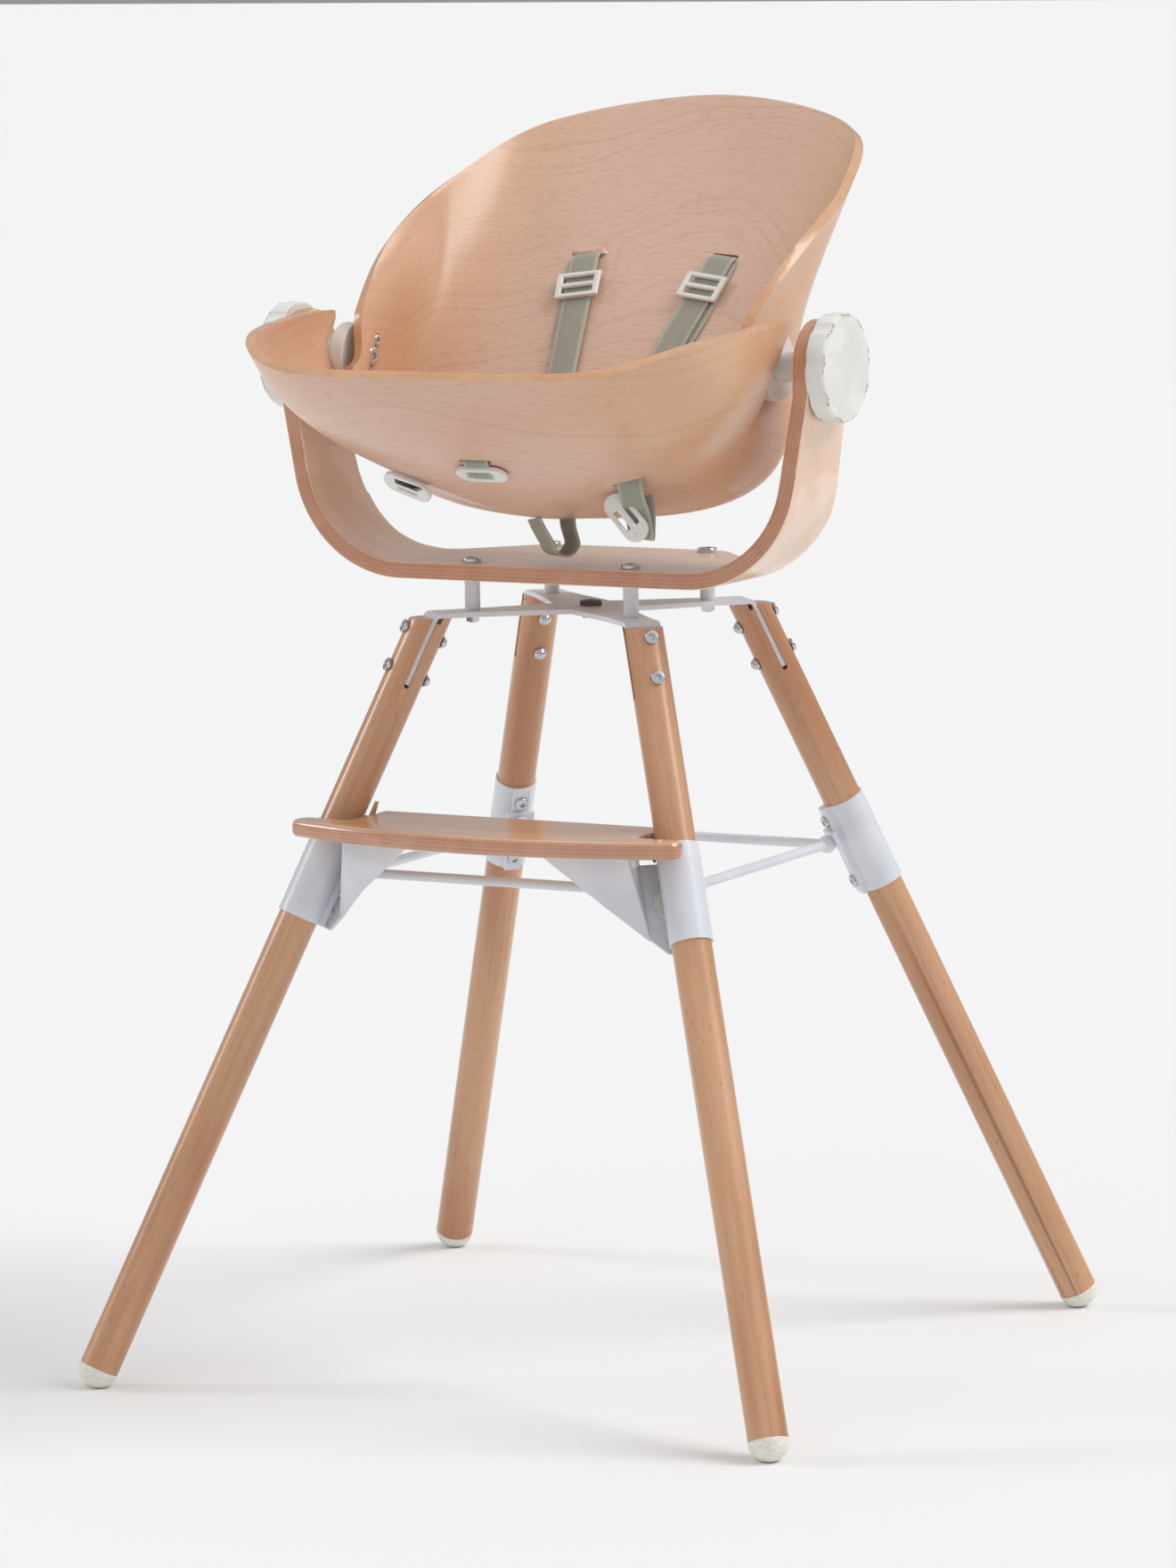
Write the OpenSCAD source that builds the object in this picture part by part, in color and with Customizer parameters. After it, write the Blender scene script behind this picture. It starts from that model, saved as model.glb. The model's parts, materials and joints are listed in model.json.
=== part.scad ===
// Baby high chair: a moulded plywood newborn seat that tilts between the arms of a
// bent plywood bracket, on four splayed two-part legs with a footrest board.
// Millimetres, +Z up, front towards -Y, origin on the floor under the middle of the legs.

/* [Legs] */
// Distance between neighbouring feet
foot_pitch = 600; // [560:5:640]
// Distance between neighbouring leg tops
top_pitch = 192; // [180:1:205]
// Height of the underside of the cross plate, where the legs end
leg_top_z = 612; // [590:1:650]
// Diameter of the round legs
leg_d = 32; // [30:0.5:34]
// Distance along a leg from its top to the joint inside the sleeve
leg_joint_s = 224; // [215:1:232]
// Radius of the soft foot cap
cap_r = 16.4; // [16.2:0.1:18]
// Height of the centre of the foot cap above the floor
cap_z = 15.5; // [14.5:0.1:15.8]

/* [Sleeves and rods] */
// Length of the steel sleeve round each leg joint
sleeve_len = 80; // [70:1:90]
// Wall of the steel sleeve
sleeve_wall = 1.45; // [1.2:0.05:2]
// Width of the flat pad on the inner side of the sleeve
pad_w = 14; // [12:0.5:18]
// Height of the pad above the sleeve
pad_h = 3.4; // [2.5:0.1:4]
// Distance between the two bolts of a sleeve
sleeve_bolt_pitch = 56; // [50:1:60]
// Diameter of the rods that tie the sleeves together
rod_d = 8; // [6:0.5:10]

/* [Cross plate] */
// Thickness of the steel cross plate
plate_t = 4; // [3:0.5:5]
// Width of an arm of the cross plate at the leg
arm_w = 29; // [24:1:31]
// Length of the blade that is folded down into the leg
blade_len = 58; // [50:1:62]
// Distance along the leg to the first bolt through the blade
blade_bolt_s = 15; // [14:0.5:18]
// Distance between the two bolts through the blade
blade_bolt_pitch = 34; // [30:1:36]

/* [U bracket] */
// Height of the gap between cross plate and bracket
standoff_h = 25.5; // [20:0.5:32]
// Distance between neighbouring standoffs across the chair
standoff_pitch_x = 144; // [120:2:150]
// Distance between neighbouring standoffs along the chair
standoff_pitch_y = 138; // [120:2:144]
// Thickness of the plywood of the bracket
u_t = 13.5; // [12:0.5:15]
// Outside width of the bracket over its arms
u_w = 477; // [473:1:482]
// Outside radius of the bracket's two bends
u_r = 98; // [92:1:100]
// Angle by which the arms lean out above the bends
u_flare = 10; // [8:0.5:12]
// Front edge of the bracket, measured forwards of the middle
u_front = 88; // [86:1:90]
// Rear edge of the bracket's base, measured backwards of the middle
u_rear = 88; // [84:1:92]

/* [Seat pivot] */
// Height of the tilting axis
pivot_z = 818; // [816:1:822]
// Distance of the tilting axis forwards of the middle
pivot_y = 50; // [49:0.5:51]
// Radius of the pivot stud
stud_r = 8; // [6:0.5:9]
// Radial running clearance of the stud in the arm and in the knob
run_fit = 0.06; // [0.03:0.01:0.1]
// Radius of the hub disc on the side of the shell
hub_r = 27.5; // [22:0.5:28]
// Radius of the hand knob
knob_r = 43.5; // [38:0.5:46]
// Thickness of the hand knob
knob_t = 16.2; // [14:0.2:20]

/* [Seat shell] */
// Thickness of the moulded plywood of the shell
shell_t = 8; // [6:0.5:9]
// Width of the harness webbing
web_w = 25; // [20:1:28]
// Thickness of the harness webbing
web_t = 1.6; // [1.2:0.1:2]

/* [Footrest] */
// Height of the underside of the footrest board
board_z = 442; // [440:1:446]
// Thickness of the footrest board
board_t = 14; // [11:0.5:14.5]
// Thickness of the folded steel footrest bracket
fold_t = 2.5; // [2:0.1:3]
// Radius of the thumb wheel on the footrest bracket
wheel_r = 12.5; // [10:0.5:13]

/* [Hidden] */
$fn = 48;
eps = 0.01;
gap = 0.3;

// ---- colours ----
BEECH = [0.80, 0.57, 0.38];
VENEER = [0.85, 0.66, 0.50];
WHITE_STEEL = [0.93, 0.93, 0.95];
WHITE_PLASTIC = [0.95, 0.95, 0.93];
CHROME = [0.75, 0.77, 0.80];
DARK_STEEL = [0.25, 0.25, 0.27];
WEBBING = [0.66, 0.66, 0.58];

// ---- legs: places worked out from the pitches ----
top_r = top_pitch / 2 * sqrt(2);
foot_r = foot_pitch / 2 * sqrt(2);
lean = atan((foot_r - top_r) / (leg_top_z - cap_z));
leg_s = (leg_top_z - cap_z) / cos(lean);
leg_r = leg_d / 2;
leg_fit = 0.05;
sleeve_ir = leg_r + leg_fit;
sleeve_r = sleeve_ir + sleeve_wall;
pad_x = sleeve_r + pad_h;
bolt_r = 2.5;
bolt_fit = 0.1;
// Legs are numbered by the direction they lean in, anticlockwise from the rear right.
REAR_RIGHT = 0;
REAR_LEFT = 1;
FRONT_LEFT = 2;
FRONT_RIGHT = 3;

// Frame of one leg: origin at the middle of its top, -Z down the leg, +X outwards.
module at_leg(k) {
    rotate([0, 0, 45 + 90 * k])
        translate([top_r, 0, leg_top_z])
            rotate([0, -lean, 0])
                children();
}

// A cylinder that lies along +X and starts at x.
module rod_x(x, length, r) {
    translate([x, 0, 0])
        rotate([0, 90, 0])
            cylinder(r = r, h = length);
}

// ---- lower and upper legs ----
module sleeve_bolt_holes() {
    for (s = [-1, 1])
        translate([0, 0, -leg_joint_s + s * sleeve_bolt_pitch / 2])
            rod_x(-pad_x - eps, pad_x - 4, bolt_r + bolt_fit);
}

module lower_leg(k) {
    color(BEECH)
        at_leg(k)
            difference() {
                translate([0, 0, -leg_s])
                    cylinder(r = leg_r, h = leg_s - leg_joint_s - gap);
                sleeve_bolt_holes();
            }
}

slot_w = plate_t + 0.2;
slot_len = blade_len + 3;
bend_ri = 2;
bend_mid = bend_ri + plate_t / 2;
// Distance down the leg at which the blade becomes straight
bend_s = (bend_ri - bend_mid * sin(lean)) / cos(lean);

module blade_slot() {
    translate([-slot_w / 2, -leg_r - 1, -slot_len + slot_w / 2])
        cube([slot_w, leg_d + 2, slot_len + leg_r]);
    translate([0, leg_r + 1, -slot_len + slot_w / 2])
        rotate([90, 0, 0])
            cylinder(r = slot_w / 2, h = leg_d + 2);
    // Room for the inside of the fold at the mouth of the slot
    translate([-slot_w - 1.5, -leg_r - 1, -3])
        cube([slot_w + 1, leg_d + 2, leg_r + 3]);
}

module blade_bolt_holes(r) {
    for (n = [0, 1])
        translate([0, 0, -blade_bolt_s - n * blade_bolt_pitch])
            rod_x(-leg_r - 5, leg_d + 10, r);
}

module upper_leg(k) {
    color(BEECH)
        difference() {
            at_leg(k)
                difference() {
                    translate([0, 0, -leg_joint_s])
                        cylinder(r = leg_r, h = leg_joint_s + leg_r);
                    blade_slot();
                    blade_bolt_holes(3.1);
                    sleeve_bolt_holes();
                }
            translate([-foot_r, -foot_r, leg_top_z])
                cube([2 * foot_r, 2 * foot_r, 4 * leg_r]);
        }
}

// ---- foot caps ----
module foot_cap(k) {
    color(WHITE_PLASTIC)
        intersection() {
            at_leg(k)
                translate([0, 0, -leg_s])
                    difference() {
                        sphere(r = cap_r, $fn = 64);
                        translate([0, 0, cap_r])
                            cube(2 * cap_r, center = true);
                    }
            translate([-foot_r, -foot_r, 0])
                cube([2 * foot_r, 2 * foot_r, 4 * cap_r]);
        }
}

// ---- sleeves with their flat pads ----
module leg_sleeve(k) {
    color(WHITE_STEEL)
        at_leg(k)
            difference() {
                translate([0, 0, -leg_joint_s - sleeve_len / 2])
                    union() {
                        cylinder(r = sleeve_r, h = sleeve_len, $fn = 64);
                        translate([-pad_x, -pad_w / 2, 0])
                            cube([pad_x - leg_r + 4, pad_w, sleeve_len]);
                    }
                translate([0, 0, -leg_joint_s - sleeve_len])
                    cylinder(r = sleeve_ir, h = 2 * sleeve_len, $fn = 64);
                sleeve_bolt_holes();
            }
}

// ---- footrest brackets: places used by the bolts as well ----
spacer_t = 3.6;
fold_x = pad_x + spacer_t;
head_r = 5.6;
head_t = 3.2;

function is_front(k) = k == FRONT_LEFT || k == FRONT_RIGHT;
// Distance from the leg's axis to the face that a sleeve bolt's head rests on
function seat_x(k) = is_front(k) ? fold_x + fold_t : pad_x;

// Socket head with a rounded rim and a hexagonal key hole; it rests on z = 0.
module socket_head(r, h) {
    difference() {
        rotate_extrude()
            union() {
                square([r - h / 3, h]);
                square([r, h * 2 / 3]);
                translate([r - h / 3, h * 2 / 3])
                    circle(r = h / 3);
            }
        translate([0, 0, h * 0.4])
            cylinder(r = r * 0.45, h = h, $fn = 6);
    }
}

module sleeve_bolts() {
    color(CHROME)
        for (k = [0:3], s = [-1, 1])
            at_leg(k)
                translate([-seat_x(k), 0, -leg_joint_s + s * sleeve_bolt_pitch / 2]) {
                    rotate([0, -90, 0])
                        socket_head(head_r, head_t);
                    rod_x(-eps, seat_x(k) - 5, bolt_r);
                }
}

module bracket_spacers() {
    color(CHROME)
        for (k = [FRONT_LEFT, FRONT_RIGHT], s = [-1, 1])
            at_leg(k)
                translate([-fold_x, 0, -leg_joint_s + s * sleeve_bolt_pitch / 2])
                    rotate([0, 90, 0])
                        difference() {
                            cylinder(r = 4.5, h = spacer_t);
                            translate([0, 0, -1])
                                cylinder(r = bolt_r + bolt_fit, h = spacer_t + 2);
                        }
}

// ---- rods between the sleeves ----
// Place of a rod corner along the leg, and how far inwards of the leg's axis it lies
rod_s = leg_joint_s - 11;
corner_x = pad_x + 8.2;
corner_rr = top_r - corner_x * cos(lean) + rod_s * sin(lean);
corner = corner_rr / sqrt(2);
rod_z = leg_top_z - corner_x * sin(lean) - rod_s * cos(lean);
tab_t = 3;
tab_w = 24;
tab_h = 14;
knuckle_r = 7.5;

module leg_rod(turn) {
    color(WHITE_STEEL)
        rotate([0, 0, turn])
            translate([-corner, corner, rod_z])
                difference() {
                    rod_x(0, 2 * corner, rod_d / 2);
                    for (x = [0, 2 * corner])
                        translate([x, 0, 0])
                            sphere(r = knuckle_r + 0.05);
                }
}

// A ball where two rods meet, on a tab that lies flat on the pad or on the bracket
module rod_corner_tabs() {
    color(WHITE_STEEL)
        for (k = [0:3])
            at_leg(k)
                translate([-seat_x(k), 0, -rod_s])
                    rotate([0, -90, 0]) {
                        translate([-5, -tab_w / 2, 0])
                            cube([tab_h, tab_w, tab_t]);
                        rotate_extrude()
                            intersection() {
                                translate([0, corner_x - seat_x(k)])
                                    circle(r = knuckle_r);
                                square([knuckle_r, 4 * knuckle_r]);
                            }
                    }
}

// ---- cross plate with four folded arms ----
plate_top = leg_top_z + plate_t;
// Where the arm's parallel sides start
arm_start = 108;
// The fold's centre lies this far inwards of the top of the leg's axis
fold_c = bend_mid * cos(lean) - bend_s * sin(lean);

// A point in the upright plane through a leg's axis, from the leg's own frame
function leg_plane(x, z) =
    [top_r + x * cos(lean) - z * sin(lean), leg_top_z + x * sin(lean) + z * cos(lean)];

// One arm's strip seen from the side: flat, folded down, then a blade inside the leg
module arm_profile() {
    fold_center = [top_r - fold_c, leg_top_z - bend_ri];
    fold_steps = 12;
    polygon(concat(
        [[arm_start, leg_top_z], [arm_start, leg_top_z + plate_t]],
        [for (n = [0:fold_steps]) let (a = 90 - (90 - lean) * n / fold_steps)
            fold_center + (bend_ri + plate_t) * [cos(a), sin(a)]],
        [leg_plane(plate_t / 2, -blade_len), leg_plane(-plate_t / 2, -blade_len)],
        [for (n = [fold_steps:-1:0]) let (a = 90 - (90 - lean) * n / fold_steps)
            fold_center + bend_ri * [cos(a), sin(a)]]
    ));
}

module cross_arm(k) {
    rotate([0, 0, 45 + 90 * k]) {
        translate([0, 0, leg_top_z])
            linear_extrude(plate_t)
                polygon([
                    [0, 27], [30, 24], [80, 17], [arm_start + 5, arm_w / 2 - 0.05],
                    [arm_start + 5, 0.05 - arm_w / 2], [80, -17], [30, -24], [0, -27]
                ]);
        translate([0, arm_w / 2, 0])
            rotate([90, 0, 0])
                linear_extrude(arm_w)
                    arm_profile();
    }
}

module cross_plate() {
    color(WHITE_STEEL)
        difference() {
            union() {
                for (k = [0:3])
                    cross_arm(k);
            }
            for (k = [0:3])
                at_leg(k)
                    blade_bolt_holes(3.1);
            at_standoffs()
                translate([0, 0, leg_top_z - 1])
                    cylinder(r = 3.2, h = plate_t + 2);
            translate([0, 0, leg_top_z - 1])
                cylinder(r = 5.1, h = plate_t + 2);
        }
}

// A short bolt closes the pivot hole in the middle of the cross plate.
module center_bolt() {
    color(DARK_STEEL) {
        translate([0, 0, plate_top])
            socket_head(9, 4);
        translate([0, 0, leg_top_z - 3])
            cylinder(r = 5, h = plate_t + 3 + eps);
        translate([0, 0, leg_top_z - 6])
            cylinder(r = 8, h = 6, $fn = 6);
    }
}

module leg_top_bolts() {
    color(CHROME)
        for (k = [0:3], n = [0, 1])
            at_leg(k)
                translate([leg_r, 0, -blade_bolt_s - n * blade_bolt_pitch]) {
                    rotate([0, 90, 0])
                        socket_head(head_r, head_t);
                    rod_x(-leg_d - 2.5, leg_d + 2.5 + eps, 3);
                }
}

module leg_top_nuts() {
    color(CHROME)
        for (k = [0:3], n = [0, 1])
            at_leg(k)
                translate([-leg_r, 0, -blade_bolt_s - n * blade_bolt_pitch])
                    rotate([0, -90, 0])
                        difference() {
                            union() {
                                cylinder(r = 5.4, h = 2);
                                translate([0, 0, 1])
                                    sphere(r = 4.6);
                            }
                            translate([0, 0, -10])
                                cube(20, center = true);
                            translate([0, 0, -1])
                                cylinder(r = 3.1, h = 3.7);
                        }
}

// ---- standoffs and the bolts that hold the bracket ----
u_z = plate_top + standoff_h;

module at_standoffs() {
    for (sx = [-1, 1], sy = [-1, 1])
        translate([sx * standoff_pitch_x / 2, sy * standoff_pitch_y / 2, 0])
            children();
}

module standoffs() {
    color(WHITE_STEEL)
        at_standoffs()
            translate([0, 0, plate_top])
                difference() {
                    cylinder(r = 6.25, h = standoff_h);
                    translate([0, 0, -1])
                        cylinder(r = 3.2, h = standoff_h + 2);
                }
}

module bracket_bolts() {
    color(CHROME)
        at_standoffs() {
            translate([0, 0, u_z + u_t])
                socket_head(8, 4);
            translate([0, 0, leg_top_z - 6])
                cylinder(r = 3, h = u_z + u_t - leg_top_z + 6 + eps);
        }
}

module bracket_nuts() {
    color(CHROME)
        at_standoffs()
            translate([0, 0, leg_top_z - 5])
                difference() {
                    cylinder(r = 6, h = 5, $fn = 6);
                    translate([0, 0, -1])
                        cylinder(r = 3.1, h = 7);
                }
}

// ---- U bracket ----
u_x = u_w / 2;
// Height at which the leaning arm turns upright, below the round end
u_kink_z = pivot_z - 22;
bend_cz = u_z + u_r;
bend_cx = u_x - u_r * cos(u_flare) - (u_kink_z - bend_cz + u_r * sin(u_flare)) * tan(u_flare);
bend_end = [bend_cx + u_r * cos(u_flare), bend_cz - u_r * sin(u_flare)];
arm_in = u_x - u_t;
arm_r = u_front - pivot_y;

// Half of the strip seen from the front
module u_half() {
    translate([-1, u_z])
        square([bend_cx + 1, u_t]);
    translate([bend_cx, bend_cz])
        intersection() {
            difference() {
                circle(r = u_r, $fn = 96);
                circle(r = u_r - u_t, $fn = 96);
            }
            polygon([
                [-0.2, 0], [-0.2, -2 * u_r], [2 * u_r, -2 * u_r],
                [2 * u_r, -2 * u_r * tan(u_flare)], [0, 0]
            ]);
        }
    // The leaning and upright part of the arm, started a little inside the bend
    start = bend_end - 0.2 * [sin(u_flare), cos(u_flare)];
    polygon([
        start,
        [u_x, u_kink_z],
        [u_x, pivot_z + arm_r + 1],
        [arm_in, pivot_z + arm_r + 1],
        [arm_in, u_kink_z + u_t * tan(u_flare / 2)],
        start - u_t * [cos(u_flare), -sin(u_flare)]
    ]);
}

// The strip seen from the side: round ends, and arms that widen downwards
module u_side() {
    // The straight sides lie a hair inside the round end, so that they cross it cleanly
    side_in = 0.03;
    top = pivot_z + arm_r + 1;
    intersection() {
        polygon([
            [side_in - u_front, u_z - 1], [side_in - u_front, top],
            [arm_r - pivot_y - side_in, top], [arm_r - pivot_y - side_in, pivot_z],
            [arm_r - pivot_y + 3, pivot_z - 55], [arm_r - pivot_y + 10, u_z + 60],
            [u_rear, u_z + 40], [u_rear, u_z - 1]
        ]);
        union() {
            translate([-pivot_y, pivot_z])
                circle(r = arm_r, $fn = 96);
            translate([-2 * u_x, 0])
                square([4 * u_x, pivot_z]);
        }
    }
}

// The strip seen from above: the base is wider than the arms
module u_plan() {
    polygon([
        [-u_x, -u_front], [u_x, -u_front], [u_x, 0], [178, 0], [160, 5], [140, 17],
        [86, u_rear - 6], [78, u_rear - 1.5], [70, u_rear], [-70, u_rear], [-78, u_rear - 1.5],
        [-86, u_rear - 6], [-140, 17], [-160, 5], [-178, 0], [-u_x, 0]
    ]);
}

module u_bracket() {
    color(VENEER)
        difference() {
            intersection() {
                translate([0, u_rear + 1, 0])
                    rotate([90, 0, 0])
                        linear_extrude(u_front + u_rear + 2) {
                            u_half();
                            mirror([1, 0])
                                u_half();
                        }
                translate([-u_x - 1, 0, 0])
                    rotate([90, 0, 90])
                        linear_extrude(2 * u_x + 2)
                            u_side();
                linear_extrude(pivot_z + arm_r + 1)
                    u_plan();
            }
            at_standoffs()
                translate([0, 0, u_z - 1])
                    cylinder(r = 3.2, h = u_t + 2);
            translate([0, -pivot_y, pivot_z])
                rod_x(-u_x - 1, 2 * u_x + 2, stud_r + run_fit);
        }
}

// ---- footrest board ----
board_front = 230;
board_tip_x = 174;
board_tip_y = 187;
board_rear = 118;
tip_r = 13;

// Bulging front edge, round tips, straight rear edge between the legs
module board_outline() {
    bulge = board_front - board_tip_y - tip_r;
    half = board_tip_x - tip_r;
    front_r = (half * half + bulge * bulge) / (2 * bulge);
    intersection() {
        translate([0, -board_front + front_r])
            circle(r = front_r, $fn = 200);
        union() {
            translate([-half - 4, -board_front])
                square([2 * half + 8, board_front - board_tip_y + tip_r - 2]);
            translate([-130, -board_front])
                square([260, board_front - board_rear]);
            for (s = [-1, 1])
                translate([s * half, -board_tip_y])
                    circle(r = tip_r);
        }
    }
}

module footrest_board() {
    color(VENEER)
        difference() {
            translate([0, 0, board_z])
                linear_extrude(board_t)
                    board_outline();
            for (k = [FRONT_LEFT, FRONT_RIGHT])
                at_leg(k) {
                    translate([0, 0, -leg_s])
                        cylinder(r = sleeve_r + 1, h = leg_s);
                    // The board ends in front of the leg, and inwards of the pad
                    translate([-pad_x - 1, -pad_w / 2 - 1, -leg_s])
                        cube([pad_x, pad_w + 2, leg_s]);
                }
            footrest_screw_holes();
        }
}

// ---- footrest brackets, folded from sheet, drawn for the left leg ----
flange_top_s = leg_joint_s - 34;
flange_end_s = leg_joint_s + 40;
slot_in_s = 24;
flange_y = 25;
fold_mid = fold_x + fold_t / 2;
// A point given in the front left leg's own frame, for the fold it shares with the web
function leg_point(x, y, z) =
    let (
        r = top_r + x * cos(lean) - z * sin(lean), k = 45 + 90 * FRONT_LEFT
    ) [r * cos(k) - y * sin(k), r * sin(k) + y * cos(k), leg_top_z + x * sin(lean) + z * cos(lean)];
web_top = board_z - fold_t / 2;
// Corners of the folds, at the middle plane of the sheet
FOLD2_TOP = leg_point(-fold_mid, flange_y, -(leg_top_z - fold_mid * sin(lean) - web_top) / cos(lean));
FOLD2_LOW = leg_point(-fold_mid, flange_y, -leg_joint_s - 27);
FOLD1_TOP = [-127, -190, web_top];
FOLD1_LOW = [-110, -192, 402];
WEB_END = [-62, -205, web_top];

module panel(corners) {
    hull()
        for (c = corners)
            translate(c)
                sphere(r = fold_t / 2, $fn = 8);
}

module footrest_bracket() {
    color(WHITE_STEEL) {
        difference() {
            at_leg(FRONT_LEFT)
                translate([-fold_x, 0, 0])
                    rotate([0, -90, 0])
                        linear_extrude(fold_t)
                            difference() {
                                polygon([
                                    [-flange_end_s, -8], [-flange_top_s, -8],
                                    [-flange_top_s, flange_y], [-leg_joint_s - 27, flange_y],
                                    [-flange_end_s, 11]
                                ]);
                                for (s = [-1, 1])
                                    translate([-leg_joint_s + s * sleeve_bolt_pitch / 2, 0])
                                        slot_shape(19, 2 * bolt_r + 0.4);
                                translate([-leg_joint_s, wheel_y])
                                    circle(r = wheel_pin_r + run_fit);
                            }
            translate([-200, -230, board_z])
                cube([100, 100, 30]);
        }
        panel([FOLD2_TOP, FOLD2_LOW, FOLD1_LOW, FOLD1_TOP]);
        panel([FOLD1_TOP, FOLD1_LOW, WEB_END]);
        difference() {
            translate([-127, -190, board_z - fold_t])
                linear_extrude(fold_t)
                    polygon([[0, 0], [65, -15], [66, 3], [6, 24]]);
            footrest_screw_holes();
        }
    }
}

module slot_shape(length, width) {
    square([length - width, width], center = true);
    for (s = [-1, 1])
        translate([s * (length - width) / 2, 0])
            circle(r = width / 2);
}

module at_footrest_screws() {
    for (m = [0, 1])
        mirror([m, 0, 0])
            for (p = [[-112, -184], [-76, -193]])
                translate([p[0], p[1], board_z])
                    children();
}

module footrest_screw_holes() {
    at_footrest_screws()
        translate([0, 0, -5])
            cylinder(r = 2.1, h = 15);
}

module footrest_screws() {
    color(CHROME)
        at_footrest_screws()
            translate([0, 0, -fold_t]) {
                translate([0, 0, -2])
                    cylinder(r = 4, h = 2);
                translate([0, 0, -eps])
                    cylinder(r = 2, h = 11);
            }
}

// ---- thumb wheel between the sleeve's pad and the bracket ----
wheel_y = 6;
wheel_pin_r = 2.5;
wheel_t = spacer_t - 2 * gap;

module footrest_wheel() {
    color(WHITE_PLASTIC)
        at_leg(FRONT_LEFT)
            translate([-pad_x - gap, wheel_y, -leg_joint_s])
                rotate([0, -90, 0]) {
                    difference() {
                        cylinder(r = wheel_r, h = wheel_t);
                        for (a = [0:36:359])
                            rotate([0, 0, a])
                                translate([wheel_r + 1.6, 0, -1])
                                    cylinder(r = 2.6, h = wheel_t + 2);
                    }
                    cylinder(r = wheel_pin_r, h = spacer_t + fold_t + 3);
                    translate([0, 0, spacer_t + fold_t])
                        cylinder(r = 4, h = 3);
                }
}

// ---- seat shell: one moulded sheet, drawn as ribs from its lowest point to its rim ----
SHELL_LOW = [0, -60, 692];
// Each rib lists four more points: two steer it over the bottom, one sets how it meets
// the rim, and the last lies on the rim. All are on the right-hand half.
RIB_FRONT = [[0, -105, 692], [0, -165, 733], [0, -222, 756], [0, -280, 820]];
RIB_FRONT_SIDE = [[38, -100, 692], [80, -148, 733], [112, -208, 758], [137, -262, 822]];
RIB_WING = [[77, -84, 692], [139, -125, 752], [206, -142, 753], [202, -196, 846]];
RIB_WING_END = [[120, -62, 692], [200, -86, 733], [208, -96, 826], [210, -40, 860]];
RIB_SLIT = [[120, -62, 692], [196, -86, 733], [172, -92, 780], [177, -86, 812]];
RIB_HUB = [[135, -38, 692], [242, -24, 718], [164, -24, 820], [181, -60, 857]];
RIB_SIDE = [[130, -15, 692], [242, 24, 687], [150, 9, 866], [191, 8, 906]];
RIB_SHOULDER = [[100, -20, 692], [124, 8, 734], [166, 82, 879], [187, 105, 952]];
RIB_CROWN = [[47, -31, 692], [62, 2, 765], [95, 127, 877], [140, 208, 995]];
RIB_TOP = [[0, -41, 692], [0, 1, 775], [0, 140, 878], [0, 252, 1016]];
// Share of a rib below the end of the slit
slit_root = 0.5;
rows = 14;
front_steps = 6;
back_steps = 5;
front_n = 3 * front_steps;
back_n = 5 * back_steps;
ring_n = 2 * front_n + 2 * back_n + 2;

function bezier(p, v) =
    pow(1 - v, 4) * SHELL_LOW + 4 * pow(1 - v, 3) * v * p[0]
    + 6 * pow(1 - v, 2) * v * v * p[1] + 4 * (1 - v) * pow(v, 3) * p[2] + pow(v, 4) * p[3];
function ease(a, b, x) =
    let (t = min(max((x - a) / (b - a), 0), 1)) t * t * (3 - 2 * t);
function flip(p) = [-p[0], p[1], p[2]];
// The first rib behind the slit leaves the wing's end above the slit's root.
function slit_rib(v) =
    let (g = ease(slit_root, 0.9, v)) bezier(RIB_WING_END, v) * (1 - g) + bezier(RIB_SLIT, v) * g;
function front_rib(i, v) =
    i == -1 ? flip(bezier(RIB_FRONT_SIDE, v))
    : i == 0 ? bezier(RIB_FRONT, v)
    : i == 1 ? bezier(RIB_FRONT_SIDE, v)
    : i == 2 ? bezier(RIB_WING, v)
    : i == 3 ? bezier(RIB_WING_END, v) : bezier(RIB_HUB, v);
function back_rib(i, v) =
    i == -1 ? bezier(RIB_WING, v)
    : i == 0 ? slit_rib(v)
    : i == 1 ? bezier(RIB_HUB, v)
    : i == 2 ? bezier(RIB_SIDE, v)
    : i == 3 ? bezier(RIB_SHOULDER, v)
    : i == 4 ? bezier(RIB_CROWN, v)
    : i == 5 ? bezier(RIB_TOP, v) : flip(bezier(RIB_CROWN, v));
function spline(a, b, c, d, t) =
    0.5 * (2 * b + (c - a) * t + (2 * a - 5 * b + 4 * c - d) * t * t
    + (3 * b - a - 3 * c + d) * t * t * t);
function skin(front, u, v) =
    let (last = front ? 2 : 4, i = min(floor(u), last), t = u - i)
    front
    ? spline(front_rib(i - 1, v), front_rib(i, v), front_rib(i + 1, v), front_rib(i + 2, v), t)
    : spline(back_rib(i - 1, v), back_rib(i, v), back_rib(i + 1, v), back_rib(i + 2, v), t);
// Unit vector that points into the seat
function inwards(front, u, v) =
    let (
        top = front ? 3 : 5, d = 0.02,
        along = skin(front, min(u + d, top), v) - skin(front, max(u - d, 0), v),
        up = skin(front, u, min(v + d, 1)) - skin(front, u, max(v - d, 0)),
        n = cross(up, along)
    ) n / norm(n);
// Columns run once round the seat, from the middle of the front to the right.
// The sheet's points of column c and row r, on its outside and its inside
function column(c) =
    c <= front_n ? [true, 3 * c / front_n, false]
    : c <= front_n + 1 + back_n ? [false, 5 * (c - front_n - 1) / back_n, false]
    : c <= front_n + 1 + 2 * back_n ? [false, 5 * (front_n + 1 + 2 * back_n - c) / back_n, true]
    : [true, 3 * (ring_n - c) / front_n, true];
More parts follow.
